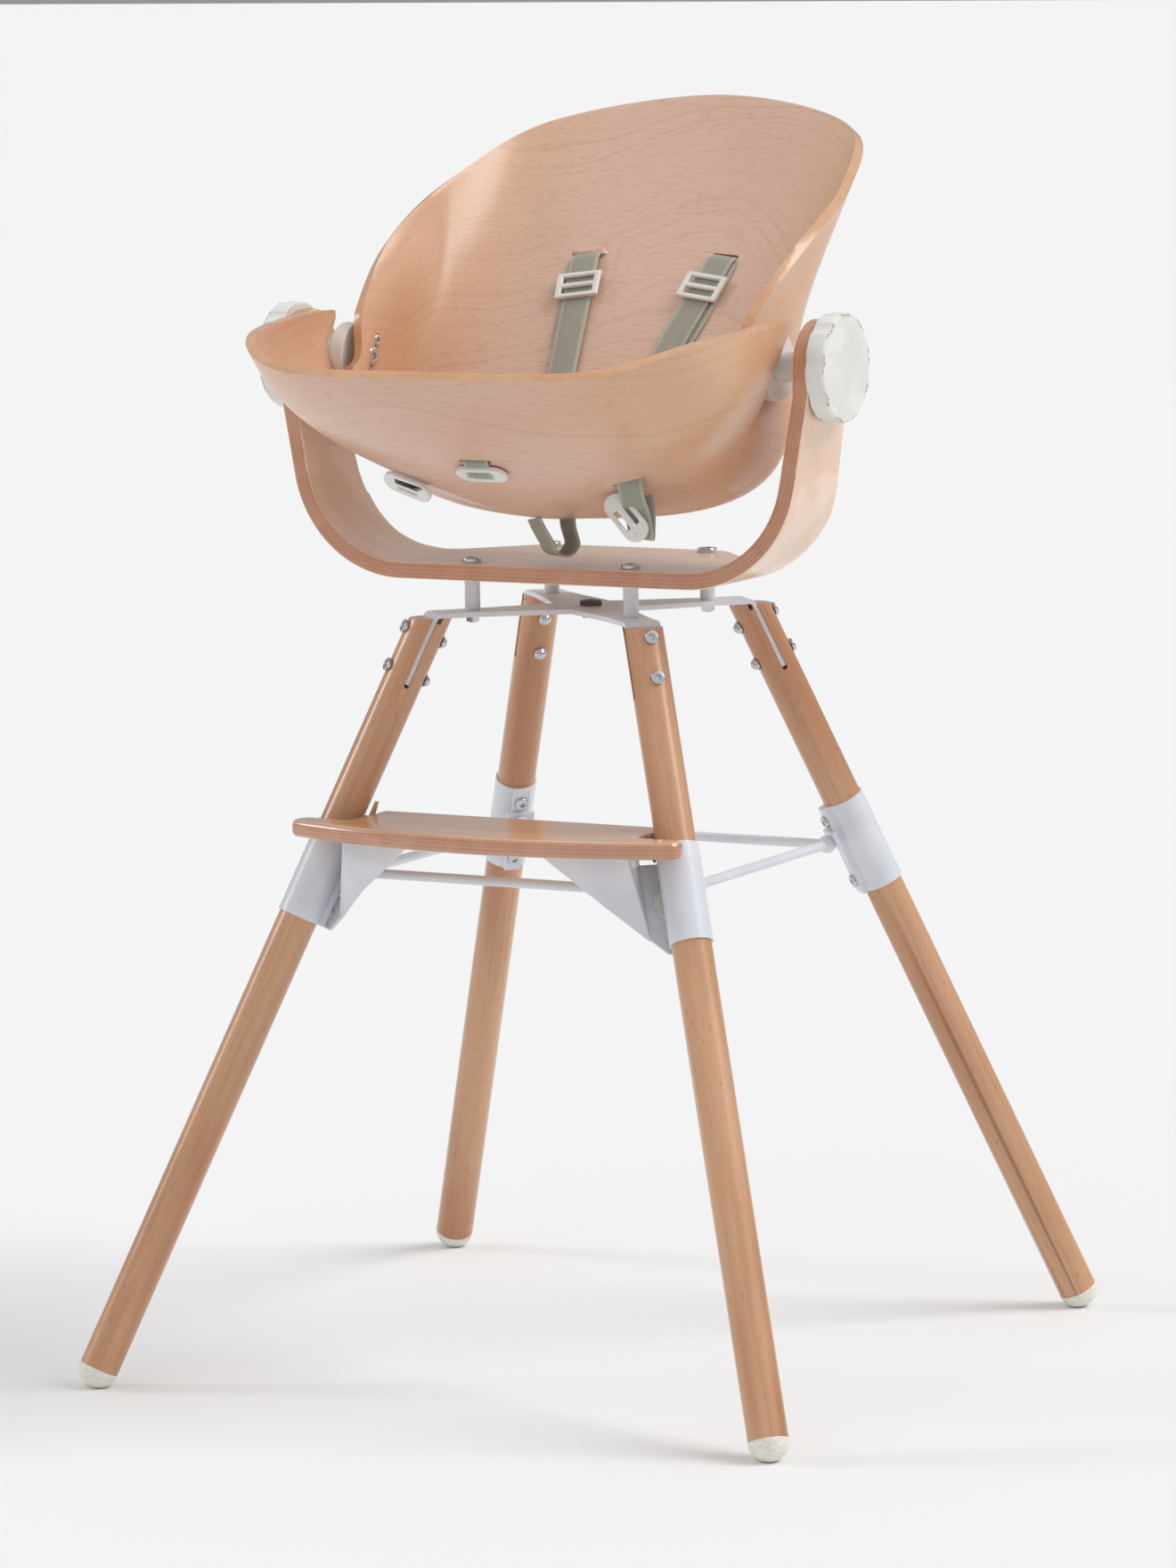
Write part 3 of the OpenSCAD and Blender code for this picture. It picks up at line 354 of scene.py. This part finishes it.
def webbing():
    """Flat woven band: ribs across it, twill along it, and paler selvedges."""
    s = Shader("webbing", 0.72, Sheen_Weight=0.25, Sheen_Roughness=0.5)
    uv = s.node("ShaderNodeUVMap", uv_map="band").outputs["UV"]
    p = s.node("ShaderNodeSeparateXYZ", {"Vector": uv})
    u, v = p.outputs["X"], p.outputs["Y"]
    rib = s.math("SINE", s.math("MULTIPLY", v, 2 * math.pi / (1.3 * MM)))
    yarn = s.math("SINE", s.math("MULTIPLY", u, 2 * math.pi / (1.7 * MM)))
    weave = s.math("MULTIPLY", rib, yarn)
    edge = s.remap(s.math("ABSOLUTE", s.math("SUBTRACT", u, WEB_W / 2 * MM)),
                   (WEB_W / 2 - 3.2) * MM, (WEB_W / 2 - 2.4) * MM)
    fuzz = s.noise(uv, 900, 3, 0.6)
    base = s.mix(s.remap(weave, -0.6, 0.8), srgb(142, 142, 127), srgb(178, 177, 161))
    base = s.mix(s.math("MULTIPLY", edge, 0.55), base, srgb(200, 198, 182))
    base = s.mix(s.remap(fuzz, 0.4, 0.7, 0, 0.3), base, srgb(120, 124, 108))
    return s.finish(base, 0.72, s.bump(s.math("ADD", weave, s.math("MULTIPLY", fuzz, 0.6)), 0.00022, 0.7))


def floor_paint():
    """Matt pale paint, nearly even in tone."""
    s = Shader("floor_paint", 0.9)
    tone = s.noise(s.coords(), 0.6, 2)
    return s.finish(s.mix(tone, (0.835, 0.835, 0.835, 1), (0.83, 0.83, 0.83, 1)))


# ---- mesh helpers ----
def new_object(name, points, faces, material):
    """A mesh object from points in millimetres."""
    mesh = bpy.data.meshes.new(name)
    mesh.from_pydata([tuple(Vector(p) * MM) for p in points], [], faces)
    mesh.update()
    obj = bpy.data.objects.new(name, mesh)
    bpy.context.scene.collection.objects.link(obj)
    mesh.materials.append(material)
    return obj


def bake_modifiers(obj):
    """Turns an object's modifiers into its mesh."""
    bpy.context.view_layer.update()
    done = obj.evaluated_get(bpy.context.evaluated_depsgraph_get())
    mesh = bpy.data.meshes.new_from_object(done)
    obj.modifiers.clear()
    obj.data = mesh


def shade(obj, angle):
    """Smooth shading that keeps edges sharper than an angle in degrees."""
    bpy.context.view_layer.objects.active = obj
    bpy.ops.object.select_all(action="DESELECT")
    obj.select_set(True)
    bpy.ops.object.shade_smooth_by_angle(angle=math.radians(angle))


def ease_edges(obj, width, clamp):
    """Weld and round the edges of a CAD node without touching its mesh."""
    weld = obj.modifiers.new("weld", "WELD")
    weld.merge_threshold = 0.00002
    flat = obj.modifiers.new("flat", "DECIMATE")
    flat.decimate_type = "DISSOLVE"
    flat.angle_limit = math.radians(0.3)
    bevel = obj.modifiers.new("bevel", "BEVEL")
    bevel.width = width * MM
    bevel.segments = EASE_SEGMENTS
    bevel.limit_method = "ANGLE"
    bevel.angle_limit = math.radians(EASE_ANGLE)
    bevel.use_clamp_overlap = clamp
    smooth = obj.modifiers.new("normals", "WEIGHTED_NORMAL")
    smooth.keep_sharp = True
    smooth.weight = 60


# ---- seat shell: ribs from the lowest point to the rim, in millimetres ----
SHELL_LOW = Vector((0, -60, 692))
RIBS = {
    "FRONT": [(0, -105, 692), (0, -165, 733), (0, -222, 756), (0, -280, 820)],
    "FRONT_SIDE": [(38, -100, 692), (80, -148, 733), (112, -208, 758), (137, -262, 822)],
    "WING": [(77, -84, 692), (139, -125, 752), (206, -142, 753), (202, -196, 846)],
    "WING_END": [(120, -62, 692), (200, -86, 733), (208, -96, 826), (210, -40, 860)],
    "SLIT": [(120, -62, 692), (196, -86, 733), (172, -92, 780), (177, -86, 812)],
    "HUB": [(135, -38, 692), (242, -24, 718), (164, -24, 820), (181, -60, 857)],
    "SIDE": [(130, -15, 692), (242, 24, 687), (150, 9, 866), (191, 8, 906)],
    "SHOULDER": [(100, -20, 692), (124, 8, 734), (166, 82, 879), (187, 105, 952)],
    "CROWN": [(47, -31, 692), (62, 2, 765), (95, 127, 877), (140, 208, 995)],
    "TOP": [(0, -41, 692), (0, 1, 775), (0, 140, 878), (0, 252, 1016)],
}
FRONT_ORDER = ["-FRONT_SIDE", "FRONT", "FRONT_SIDE", "WING", "WING_END", "HUB"]
BACK_ORDER = ["WING", "slit", "HUB", "SIDE", "SHOULDER", "CROWN", "TOP", "-CROWN"]
SLIT_ROOT = 0.5
CORNER_U = 2.5
CORNER_CUT = 0.08
ROWS = 64
FRONT_N = 3 * 13
BACK_N = 5 * 12
RING_N = 2 * FRONT_N + 2 * BACK_N + 2


def flip(p):
    return Vector((-p[0], p[1], p[2]))


def bezier(name, v):
    """A point of a named rib, a quartic curve from the lowest point to the rim."""
    w = 1 - v
    a, b, c, d = (Vector(q) for q in RIBS[name])
    return (w**4 * SHELL_LOW + 4 * w**3 * v * a + 6 * w * w * v * v * b
            + 4 * w * v**3 * c + v**4 * d)


def ease(low, high, x):
    t = min(max((x - low) / (high - low), 0), 1)
    return t * t * (3 - 2 * t)


def rib(name, v):
    """A point of a rib by its name; - mirrors it, and slit opens away from the wing's end."""
    if name == "slit":
        g = ease(SLIT_ROOT, 0.9, v)
        return bezier("WING_END", v) * (1 - g) + bezier("SLIT", v) * g
    if name[0] == "-":
        return flip(bezier(name[1:], v))
    return bezier(name, v)


_rib_cache = {}


def rib_at(name, v):
    key = (name, round(v, 6))
    if key not in _rib_cache:
        _rib_cache[key] = rib(name, v)
    return _rib_cache[key]


def skin(front, u, v):
    """A point of the shell's outer face: u runs across the ribs and v up them."""
    order = FRONT_ORDER if front else BACK_ORDER
    i = min(int(math.floor(u)), len(order) - 4)
    t = u - i
    a, b, c, d = (rib_at(order[i + k], v) for k in range(4))
    return 0.5 * (2 * b + (c - a) * t + (2 * a - 5 * b + 4 * c - d) * t * t
                  + (3 * b - a - 3 * c + d) * t**3)


def inwards(front, u, v, step=0.02):
    """Unit vector that points into the seat."""
    top = 3 if front else 5
    along = skin(front, min(u + step, top), v) - skin(front, max(u - step, 0), v)
    up = skin(front, u, min(v + step, 1)) - skin(front, u, max(v - step, 0))
    return up.cross(along).normalized()


def row_v(front, u, w):
    """Height along a rib: near the wing's end the columns stop short, which rounds its corner."""
    top = 1.0
    if front and u > CORNER_U:
        reach = min((u - CORNER_U) / (3 - CORNER_U), 1.0)
        top = 1 - CORNER_CUT * (1 - math.sqrt(1 - reach * reach))
    return w if w <= SLIT_ROOT else SLIT_ROOT + (w - SLIT_ROOT) * (top - SLIT_ROOT) / (1 - SLIT_ROOT)


def column(c):
    """Which patch a column belongs to, how far across, and whether it is mirrored."""
    if c <= FRONT_N:
        return True, 3 * c / FRONT_N, False
    if c <= FRONT_N + 1 + BACK_N:
        return False, 5 * (c - FRONT_N - 1) / BACK_N, False
    if c <= FRONT_N + 1 + 2 * BACK_N:
        return False, 5 * (FRONT_N + 1 + 2 * BACK_N - c) / BACK_N, True
    return True, 3 * (RING_N - c) / FRONT_N, True


def shell_mesh():
    """Points, faces, material numbers and map of the whole sheet."""
    root = int(ROWS * SLIT_ROOT)
    right, left = FRONT_N + 1, FRONT_N + 1 + 2 * BACK_N
    points = [SHELL_LOW, SHELL_LOW + Vector((0, 0, SHELL_T))]
    rise = [[0.0] * (ROWS + 1) for _ in range(RING_N)]
    for c in range(RING_N):
        front, u, mirrored = column(c)
        before = SHELL_LOW
        for r in range(1, ROWS + 1):
            v = row_v(front, u, r / ROWS)
            p = skin(front, u, v)
            q = p + inwards(front, u, v) * SHELL_T
            rise[c][r] = rise[c][r - 1] + (p - before).length
            before = p
            points += [flip(p), flip(q)] if mirrored else [p, q]

    def shared(c, r):
        c %= RING_N
        if r <= root and c == right:
            return FRONT_N
        if r <= root and c == left:
            return left + 1
        return c

    def pid(side, c, r):
        return side if r == 0 else 2 + 2 * (shared(c, r) * ROWS + r - 1) + side

    faces, kinds, maps = [], [], []

    def add(corners, kind):
        ids, uvs = [], []
        for side, c, r in corners:
            n = pid(side, c, r)
            if n not in ids:
                ids.append(n)
                uvs.append((side, rise[shared(c, r)][r] * MM))
        if len(ids) > 2:
            faces.append(ids)
            kinds.append(kind)
            maps.append(uvs)

    for c in range(RING_N):
        slit = c in (FRONT_N, left)
        if slit:
            for r in range(root, ROWS):
                add([(0, c, r), (0, c, r + 1), (1, c, r + 1), (1, c, r)], 1)
                add([(1, c + 1, r), (1, c + 1, r + 1), (0, c + 1, r + 1), (0, c + 1, r)], 1)
            continue
        for r in range(ROWS):
            add([(0, c, r), (0, c + 1, r), (0, c + 1, r + 1), (0, c, r + 1)], 0)
            add([(1, c, r + 1), (1, c + 1, r + 1), (1, c + 1, r), (1, c, r)], 0)
        add([(0, c, ROWS), (0, c + 1, ROWS), (1, c + 1, ROWS), (1, c, ROWS)], 1)
    return points, faces, kinds, maps


def cutter_cylinder(points, faces, start, axis, length, radius, sides=40):
    """Adds a closed cylinder to a list of cutting solids."""
    axis = axis.normalized()
    side = axis.orthogonal().normalized()
    other = axis.cross(side)
    first = len(points)
    for end in (0, length):
        for n in range(sides):
            a = 2 * math.pi * n / sides
            points.append(start + axis * end + (side * math.cos(a) + other * math.sin(a)) * radius)
    for n in range(sides):
        m = (n + 1) % sides
        faces.append([first + n, first + m, first + sides + m, first + sides + n])
    faces.append([first + n for n in reversed(range(sides))])
    faces.append([first + sides + n for n in range(sides)])


def cutter_slot(points, faces, matrix, width, height, depth, corner_steps=6):
    """Adds a closed slot with round ends, cut along its own Z."""
    ring = []
    r = height / 2
    for sx, a0 in ((1, -90), (-1, 90)):
        for n in range(corner_steps + 1):
            a = math.radians(a0 + 180 * n / corner_steps)
            ring.append((sx * (width / 2 - r) + r * math.cos(a), r * math.sin(a)))
    first, sides = len(points), len(ring)
    for z in (-depth / 2, depth / 2):
        points += [matrix @ Vector((x, y, z)) for x, y in ring]
    for n in range(sides):
        m = (n + 1) % sides
        faces.append([first + n, first + m, first + sides + m, first + sides + n])
    faces.append([first + n for n in reversed(range(sides))])
    faces.append([first + sides + n for n in range(sides)])


# ---- places on the shell ----
STRAP_TOP = Vector((63, 122, 892))
STRAP_LOW = Vector((38, 20, 783))


def strap_frame(sign):
    """Frame of a shoulder strap: X across it, -Y down it, Z into the seat. sign is the side."""
    run = STRAP_LOW - STRAP_TOP
    tilt = math.atan2(-run.z, -run.y)
    skew = math.asin(-run.x / run.length)
    m = Matrix.Translation(STRAP_TOP) @ Matrix.Rotation(tilt, 4, "X") @ Matrix.Rotation(-skew, 4, "Z")
    return m if sign > 0 else Matrix.Scale(-1, 4, (1, 0, 0)) @ m


def surface_frame(place, normal, along):
    """Frame on the shell's outside: Z is the outward normal and X runs along."""
    z = normal.normalized()
    x = (along - z * along.dot(z)).normalized()
    y = z.cross(x)
    m = Matrix((x, y, z)).transposed().to_4x4()
    return Matrix.Translation(place) @ m


SLOT_CENTER = surface_frame(Vector((0, -194, 748.8)), Vector((0, -0.53, -0.85)), Vector((1, 0, 0)))
SLOT_RIGHT = surface_frame(Vector((103, -130, 730.4)), Vector((0.3, -0.31, -0.9)), Vector((1, 0.12, 0)))
SLOT_LEFT = surface_frame(Vector((-88, -133, 726.7)), Vector((-0.27, -0.34, -0.9)), Vector((1, 0, 0)))


def shell_cutters():
    """Solids that cut the stud holes, hub seats, screw holes and strap slots."""
    points, faces = [], []
    for sign in (1, -1):
        out = Vector((sign, 0, 0))
        hub = Vector((0, PIVOT.y, PIVOT.z))
        cutter_cylinder(points, faces, hub + out * INSIDE_X, out, 60, 8.4)
        cutter_cylinder(points, faces, hub + out * (HUB_X - 0.1), out, 20, HUB_R, 64)
        cutter_cylinder(points, faces, hub + out * INSIDE_X, out, STUD_X - INSIDE_X, BOLT_HEAD_R)
        line = math.radians(SCREW_LINE)
        for s in (-1, 1):
            at = hub + Vector((0, math.cos(line), math.sin(line))) * SCREW_OUT * s
            cutter_cylinder(points, faces, at + out * INSIDE_X, out, STUD_X - INSIDE_X, SCREW_HEAD_R)
        slot = strap_frame(sign) @ Matrix.Translation((0, 3, 0))
        cutter_slot(points, faces, slot, *STRAP_SLOT)
    for place in (SLOT_CENTER, SLOT_RIGHT, SLOT_LEFT):
        cutter_slot(points, faces, place, *TOGGLE_SLOT)
    return points, faces


def build_shell():
    """The moulded seat, with a rounded rim and its holes cut."""
    points, faces, kinds, maps = shell_mesh()
    wood, edge = shell_wood(), shell_edge()
    shell = new_object("seat_sheet", points, faces, wood)
    shell.data.materials.append(edge)
    layer = shell.data.uv_layers.new(name="rib")
    for polygon, kind, uvs in zip(shell.data.polygons, kinds, maps):
        polygon.material_index = kind
        for loop, uv in zip(polygon.loop_indices, uvs):
            layer.data[loop].uv = uv
    bevel = shell.modifiers.new("rim", "BEVEL")
    bevel.width = RIM_R * MM
    bevel.segments = 4
    bevel.limit_method = "ANGLE"
    bevel.angle_limit = math.radians(50)
    cut_points, cut_faces = shell_cutters()
    cutter = new_object("shell_cutter", cut_points, cut_faces, edge)
    cutter.data.uv_layers.new(name="rib")
    boolean = shell.modifiers.new("slots", "BOOLEAN")
    boolean.operation = "DIFFERENCE"
    boolean.solver = "EXACT"
    boolean.use_self = True
    boolean.material_mode = "TRANSFER"
    boolean.object = cutter
    bake_modifiers(shell)
    bpy.data.objects.remove(cutter)
    shade(shell, 38)
    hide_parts("seat_shell")
    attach(shell, "seat")


# ---- webbing ----
def spline_points(points, steps):
    """Points of a smooth curve through the given ones."""
    pts = [Vector(p) for p in points]
    pts = [2 * pts[0] - pts[1], *pts, 2 * pts[-1] - pts[-2]]
    out = []
    for k in range(1, len(pts) - 2):
        a, b, c, d = pts[k - 1 : k + 3]
        for n in range(steps):
            t = n / steps
            out.append(0.5 * (2 * b + (c - a) * t + (2 * a - 5 * b + 4 * c - d) * t * t
                              + (3 * b - a - 3 * c + d) * t**3))
    return [*out, pts[-2]]


def ribbon(name, points, across, width, material, steps=8, thick=WEB_T):
    """A flat band along a curve; across gives the width's direction at each given point."""
    line = spline_points(points, steps)
    sides = spline_points(across, steps) if isinstance(across, list) else [across] * len(line)
    e = 0.35
    section = [(-0.5, -e), (-0.5, e), (-0.47, 0.5), (-0.2, 0.5), (0.2, 0.5), (0.47, 0.5), (0.5, e),
               (0.5, -e), (0.47, -0.5), (0.2, -0.5), (-0.2, -0.5), (-0.47, -0.5)]
    verts, run, uvs = [], 0.0, []
    for k, p in enumerate(line):
        ahead = (line[min(k + 1, len(line) - 1)] - line[max(k - 1, 0)]).normalized()
        side = (Vector(sides[k]) - ahead * ahead.dot(Vector(sides[k]))).normalized()
        up = side.cross(ahead)
        if k:
            run += (p - line[k - 1]).length
        for a, b in section:
            verts.append(p + side * a * width + up * b * thick)
            uvs.append(((a + 0.5) * WEB_W * MM, run * MM))
    n, faces = len(section), []
    for k in range(len(line) - 1):
        for j in range(n):
            i = (j + 1) % n
            faces.append([k * n + j, k * n + i, (k + 1) * n + i, (k + 1) * n + j])
    faces.append(list(reversed(range(n))))
    faces.append([(len(line) - 1) * n + j for j in range(n)])
    obj = new_object(name, verts, faces, material)
    layer = obj.data.uv_layers.new(name="band")
    for loop in obj.data.loops:
        layer.data[loop.index].uv = uvs[loop.vertex_index]
    shade(obj, 50)
    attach(obj, "seat")
    return obj


def build_straps(material):
    """Shoulder straps: out of the slot, straight down the back, with the tail beneath."""
    for side, sign in (("left", -1), ("right", 1)):
        m = strap_frame(sign)
        across = m.to_3x3() @ Vector((1, 0, 0))
        front = [(0, 4.5, -13), (0, 3.5, -7), (0, 2.2, -1), (0, -2.5, 2.0), (0, -9, 2.8), (0, -40, 2.8),
                 (0, -90, 2.8), (0, -140, 2.8), (0, -149, 2.4)]
        strap = ribbon(f"shoulder_webbing_{side}", [m @ Vector(p) for p in front], across, WEB_W, material)
        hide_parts(f"shoulder_strap_{side}")
        slip = 5.0 if sign > 0 else 3.0
        tail = [(slip * 0.3, 1.0, -11), (slip * 0.5, -0.5, -5), (slip * 0.8, -7, 0.6),
                (slip, -30, 0.9), (slip * 1.2, -70, 0.9), (slip * 0.8, -96, 0.9)]
        ribbon(f"shoulder_tail_{side}", [m @ Vector(p) for p in tail], across, WEB_W, material)
        back = [(0, 4.4, -13), (0, 3.6, -17), (0, 0, -18.5), (0, -3, -17), (0, -3.4, -12.5)]
        ribbon(f"strap_turn_{side}", [m @ Vector(p) for p in back], across, WEB_W, material, 6)


def arc_points(center, u, w, radius, start, end, count):
    """Points of an arc in the plane of u and w, between two angles in degrees."""
    return [center + (u * math.cos(math.radians(start + (end - start) * k / count))
                      + w * math.sin(math.radians(start + (end - start) * k / count))) * radius
            for k in range(count + 1)]


def build_loops(material):
    """The folded crotch strap, the side strap through its toggle, and the centre stub."""
    turn = math.radians(-34)
    across = Vector((math.cos(turn), math.sin(turn), 0))
    run = Vector((-math.sin(turn), math.cos(turn), 0))
    top = Vector((1, -64, 693))
    low = top + Vector((5, 0, -18.5))
    loop = [top - run * 15 + Vector((-3, 0, 0)), top - run * 13 + Vector((-1, 0, -8))]
    loop += arc_points(low, -run, Vector((0, 0, -1)), 11.5, 8, 172, 8)
    loop += [top + run * 11 + Vector((2, 0, -8)), top + run * 12]
    strap = ribbon("crotch_loop", loop, across, WEB_W, material, 5)
    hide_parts("crotch_strap_loop")

    turn = math.radians(20)
    across = Vector((math.cos(turn), math.sin(turn), -0.12))
    run = Vector((-math.sin(turn), math.cos(turn), 0))
    hang = Vector((102.5, -108, 689))
    tail = [Vector((103, -130, 736)), Vector((103, -129.6, 727.5)), Vector((102.6, -124, 717)),
            Vector((102.2, -115.5, 705))]
    tail += arc_points(hang, -run, Vector((0, 0, -1)), 5.2, 0, 175, 8)
    tail += [Vector((101, -102.8, 700)), Vector((100.5, -102.5, 709)), Vector((100, -103.5, 717))]
    strap = ribbon("side_strap", tail, across, SIDE_WEB_W, material, 5)
    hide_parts("side_strap_tail")

    z = (SLOT_CENTER.to_3x3() @ Vector((0, 0, 1))).normalized()
    down = Vector((0, 0.85, -0.52))
    at = SLOT_CENTER.translation
    stub = [at - z * 7, at - z * 2, at + z * 0.9 + down * 1.5, at + z * 2.2 + down * 6,
            at + z * 5.6 + down * 11, at + z * 6.4 + down * 15]
    ribbon("center_stub", stub, Vector((1, 0, 0)), STUB_W, material, 5)


# ---- CAD nodes: materials and eased edges ----
LEGS = {"rear_right": 0, "rear_left": 1, "front_left": 2, "front_right": 3}
# Nodes whose bevel is not clamped to the length of their short edges
FREE_EDGES = {"footrest_board", "u_bracket", "toggle_left", "toggle_center", "toggle_right",
              "hand_knob_left", "hand_knob_right"}
EASE = [  # name starts with, edge radius in mm
    ("lower_leg", 1.2), ("upper_leg", 1.2), ("foot_cap", 0.3), ("leg_sleeve", 0.35), ("u_bracket", 2.2),
    ("footrest_board", 4.6), ("footrest_bracket", 0.5), ("cross_plate", 0.7), ("hub_left", 1.2),
    ("hub_right", 1.2), ("hand_knob", 1.4), ("strap_slider", 1.1), ("toggle", 1.3),
    ("footrest_wheel", 0.5), ("rod_corner", 0.5), ("standoffs", 0.4), ("hub_bolts", 0.5),
    ("hub_screws", 0.4), ("bracket_bolts", 0.5), ("bracket_nuts", 0.4), ("leg_top", 0.5),
    ("sleeve_bolts", 0.4), ("footrest_screws", 0.3), ("center_bolt", 0.5), ("leg_rod", 0.2),
    ("pivot_stud", 0.4), ("bracket_spacers", 0.2),
]


def dress_nodes():
    """Gives every CAD node its material and eases its edges; returns the webbing material."""
    u_faces = (srgb(244, 218, 196), srgb(232, 196, 168))
    board_faces = (srgb(232, 186, 146), srgb(216, 160, 118))
    shared = {
        "white_steel": white_steel(), "white_plastic": white_plastic(), "foot_cap": cap_plastic(),
        "chrome": chrome(), "webbing": webbing(),
    }
    single = {
        "u_bracket": bent_ply("bracket_ply", bracket_depth, 9, *u_faces, 0.4),
        "footrest_board": bent_ply("board_ply", board_depth, 9, *board_faces, 1.0),
        "center_bolt": dark_steel(),
    }
    for name, obj in NODES.items():
        if name.startswith(("lower_leg", "upper_leg")):
            part, leg = name.split("_leg_")
            material = leg_wood(LEGS[leg], part)
        else:
            material = single.get(name) or shared.get(SLOTS[name])
        if material:
            obj.data.materials.clear()
            obj.data.materials.append(material)
        for start, width in EASE:
            if name.startswith(start):
                ease_edges(obj, width, clamp=name not in FREE_EDGES)
                break
    return shared["webbing"]


# ---- floor, lights and camera ----
def build_floor():
    """A pale floor, large enough to fill the picture."""
    corners = [(x * FLOOR_HALF, y * FLOOR_HALF, 0) for x, y in ((-1, -1), (1, -1), (1, 1), (-1, 1))]
    floor = new_object("floor", corners, [[0, 1, 2, 3]], floor_paint())


def sun_light(name, towards, strength, softness):
    """A distant soft light that comes from the given direction."""
    data = bpy.data.lights.new(name, "SUN")
    data.energy = strength
    data.angle = math.radians(softness)
    lamp = bpy.data.objects.new(name, data)
    lamp.rotation_euler = (-Vector(towards)).to_track_quat("-Z", "Y").to_euler()
    bpy.context.scene.collection.objects.link(lamp)


def build_light():
    """A bright studio: pale sky, darker low side walls, a key from the right and a left strip."""
    world = bpy.data.worlds.new("studio")
    bpy.context.scene.world = world
    world.use_nodes = True
    nodes, links = world.node_tree.nodes, world.node_tree.links
    back = nodes["Background"]
    place = nodes.new("ShaderNodeTexCoord")
    parts = nodes.new("ShaderNodeSeparateXYZ")
    ramp = nodes.new("ShaderNodeMapRange")
    ramp.inputs["From Min"].default_value = 0.05
    ramp.inputs["From Max"].default_value = 0.75
    ramp.inputs["To Min"].default_value = 0.30
    ramp.inputs["To Max"].default_value = 0.72
    links.new(place.outputs["Generated"], parts.inputs["Vector"])
    links.new(parts.outputs["Z"], ramp.inputs["Value"])
    links.new(ramp.outputs["Result"], back.inputs["Strength"])
    back.inputs["Color"].default_value = (0.985, 0.99, 1.0, 1.0)
    sun_light("key", (0.8, 0.3, 0.95), 1.6, 34)
    sun_light("strip_left", (-0.85, -0.25, 0.45), 0.55, 16)
    sun_light("front", (0.1, -0.9, 0.5), 0.12, 50)


def build_camera():
    """Camera at the viewing angle of the product shot."""
    yaw, pitch, roll = 0.4801, 0.1367, -0.0125
    look = Vector((-math.sin(yaw) * math.cos(pitch), math.cos(yaw) * math.cos(pitch), -math.sin(pitch)))
    right = Vector((math.cos(yaw), math.sin(yaw), 0))
    up = right.cross(look)
    across = right * math.cos(roll) + up * math.sin(roll)
    above = up * math.cos(roll) - right * math.sin(roll)
    data = bpy.data.cameras.new("camera")
    data.sensor_width = 36
    data.lens = 148.4
    data.clip_start, data.clip_end = 0.1, 200
    camera = bpy.data.objects.new("camera", data)
    m = Matrix((across, above, -look)).transposed().to_4x4()
    camera.matrix_world = Matrix.Translation((2.41292, -4.64258, 1.18854)) @ m
    bpy.context.scene.collection.objects.link(camera)
    bpy.context.scene.camera = camera
    bpy.context.scene.view_settings.view_transform = "Standard"


build_camera()
build_floor()
build_light()
band = dress_nodes()
build_shell()
build_straps(band)
build_loops(band)
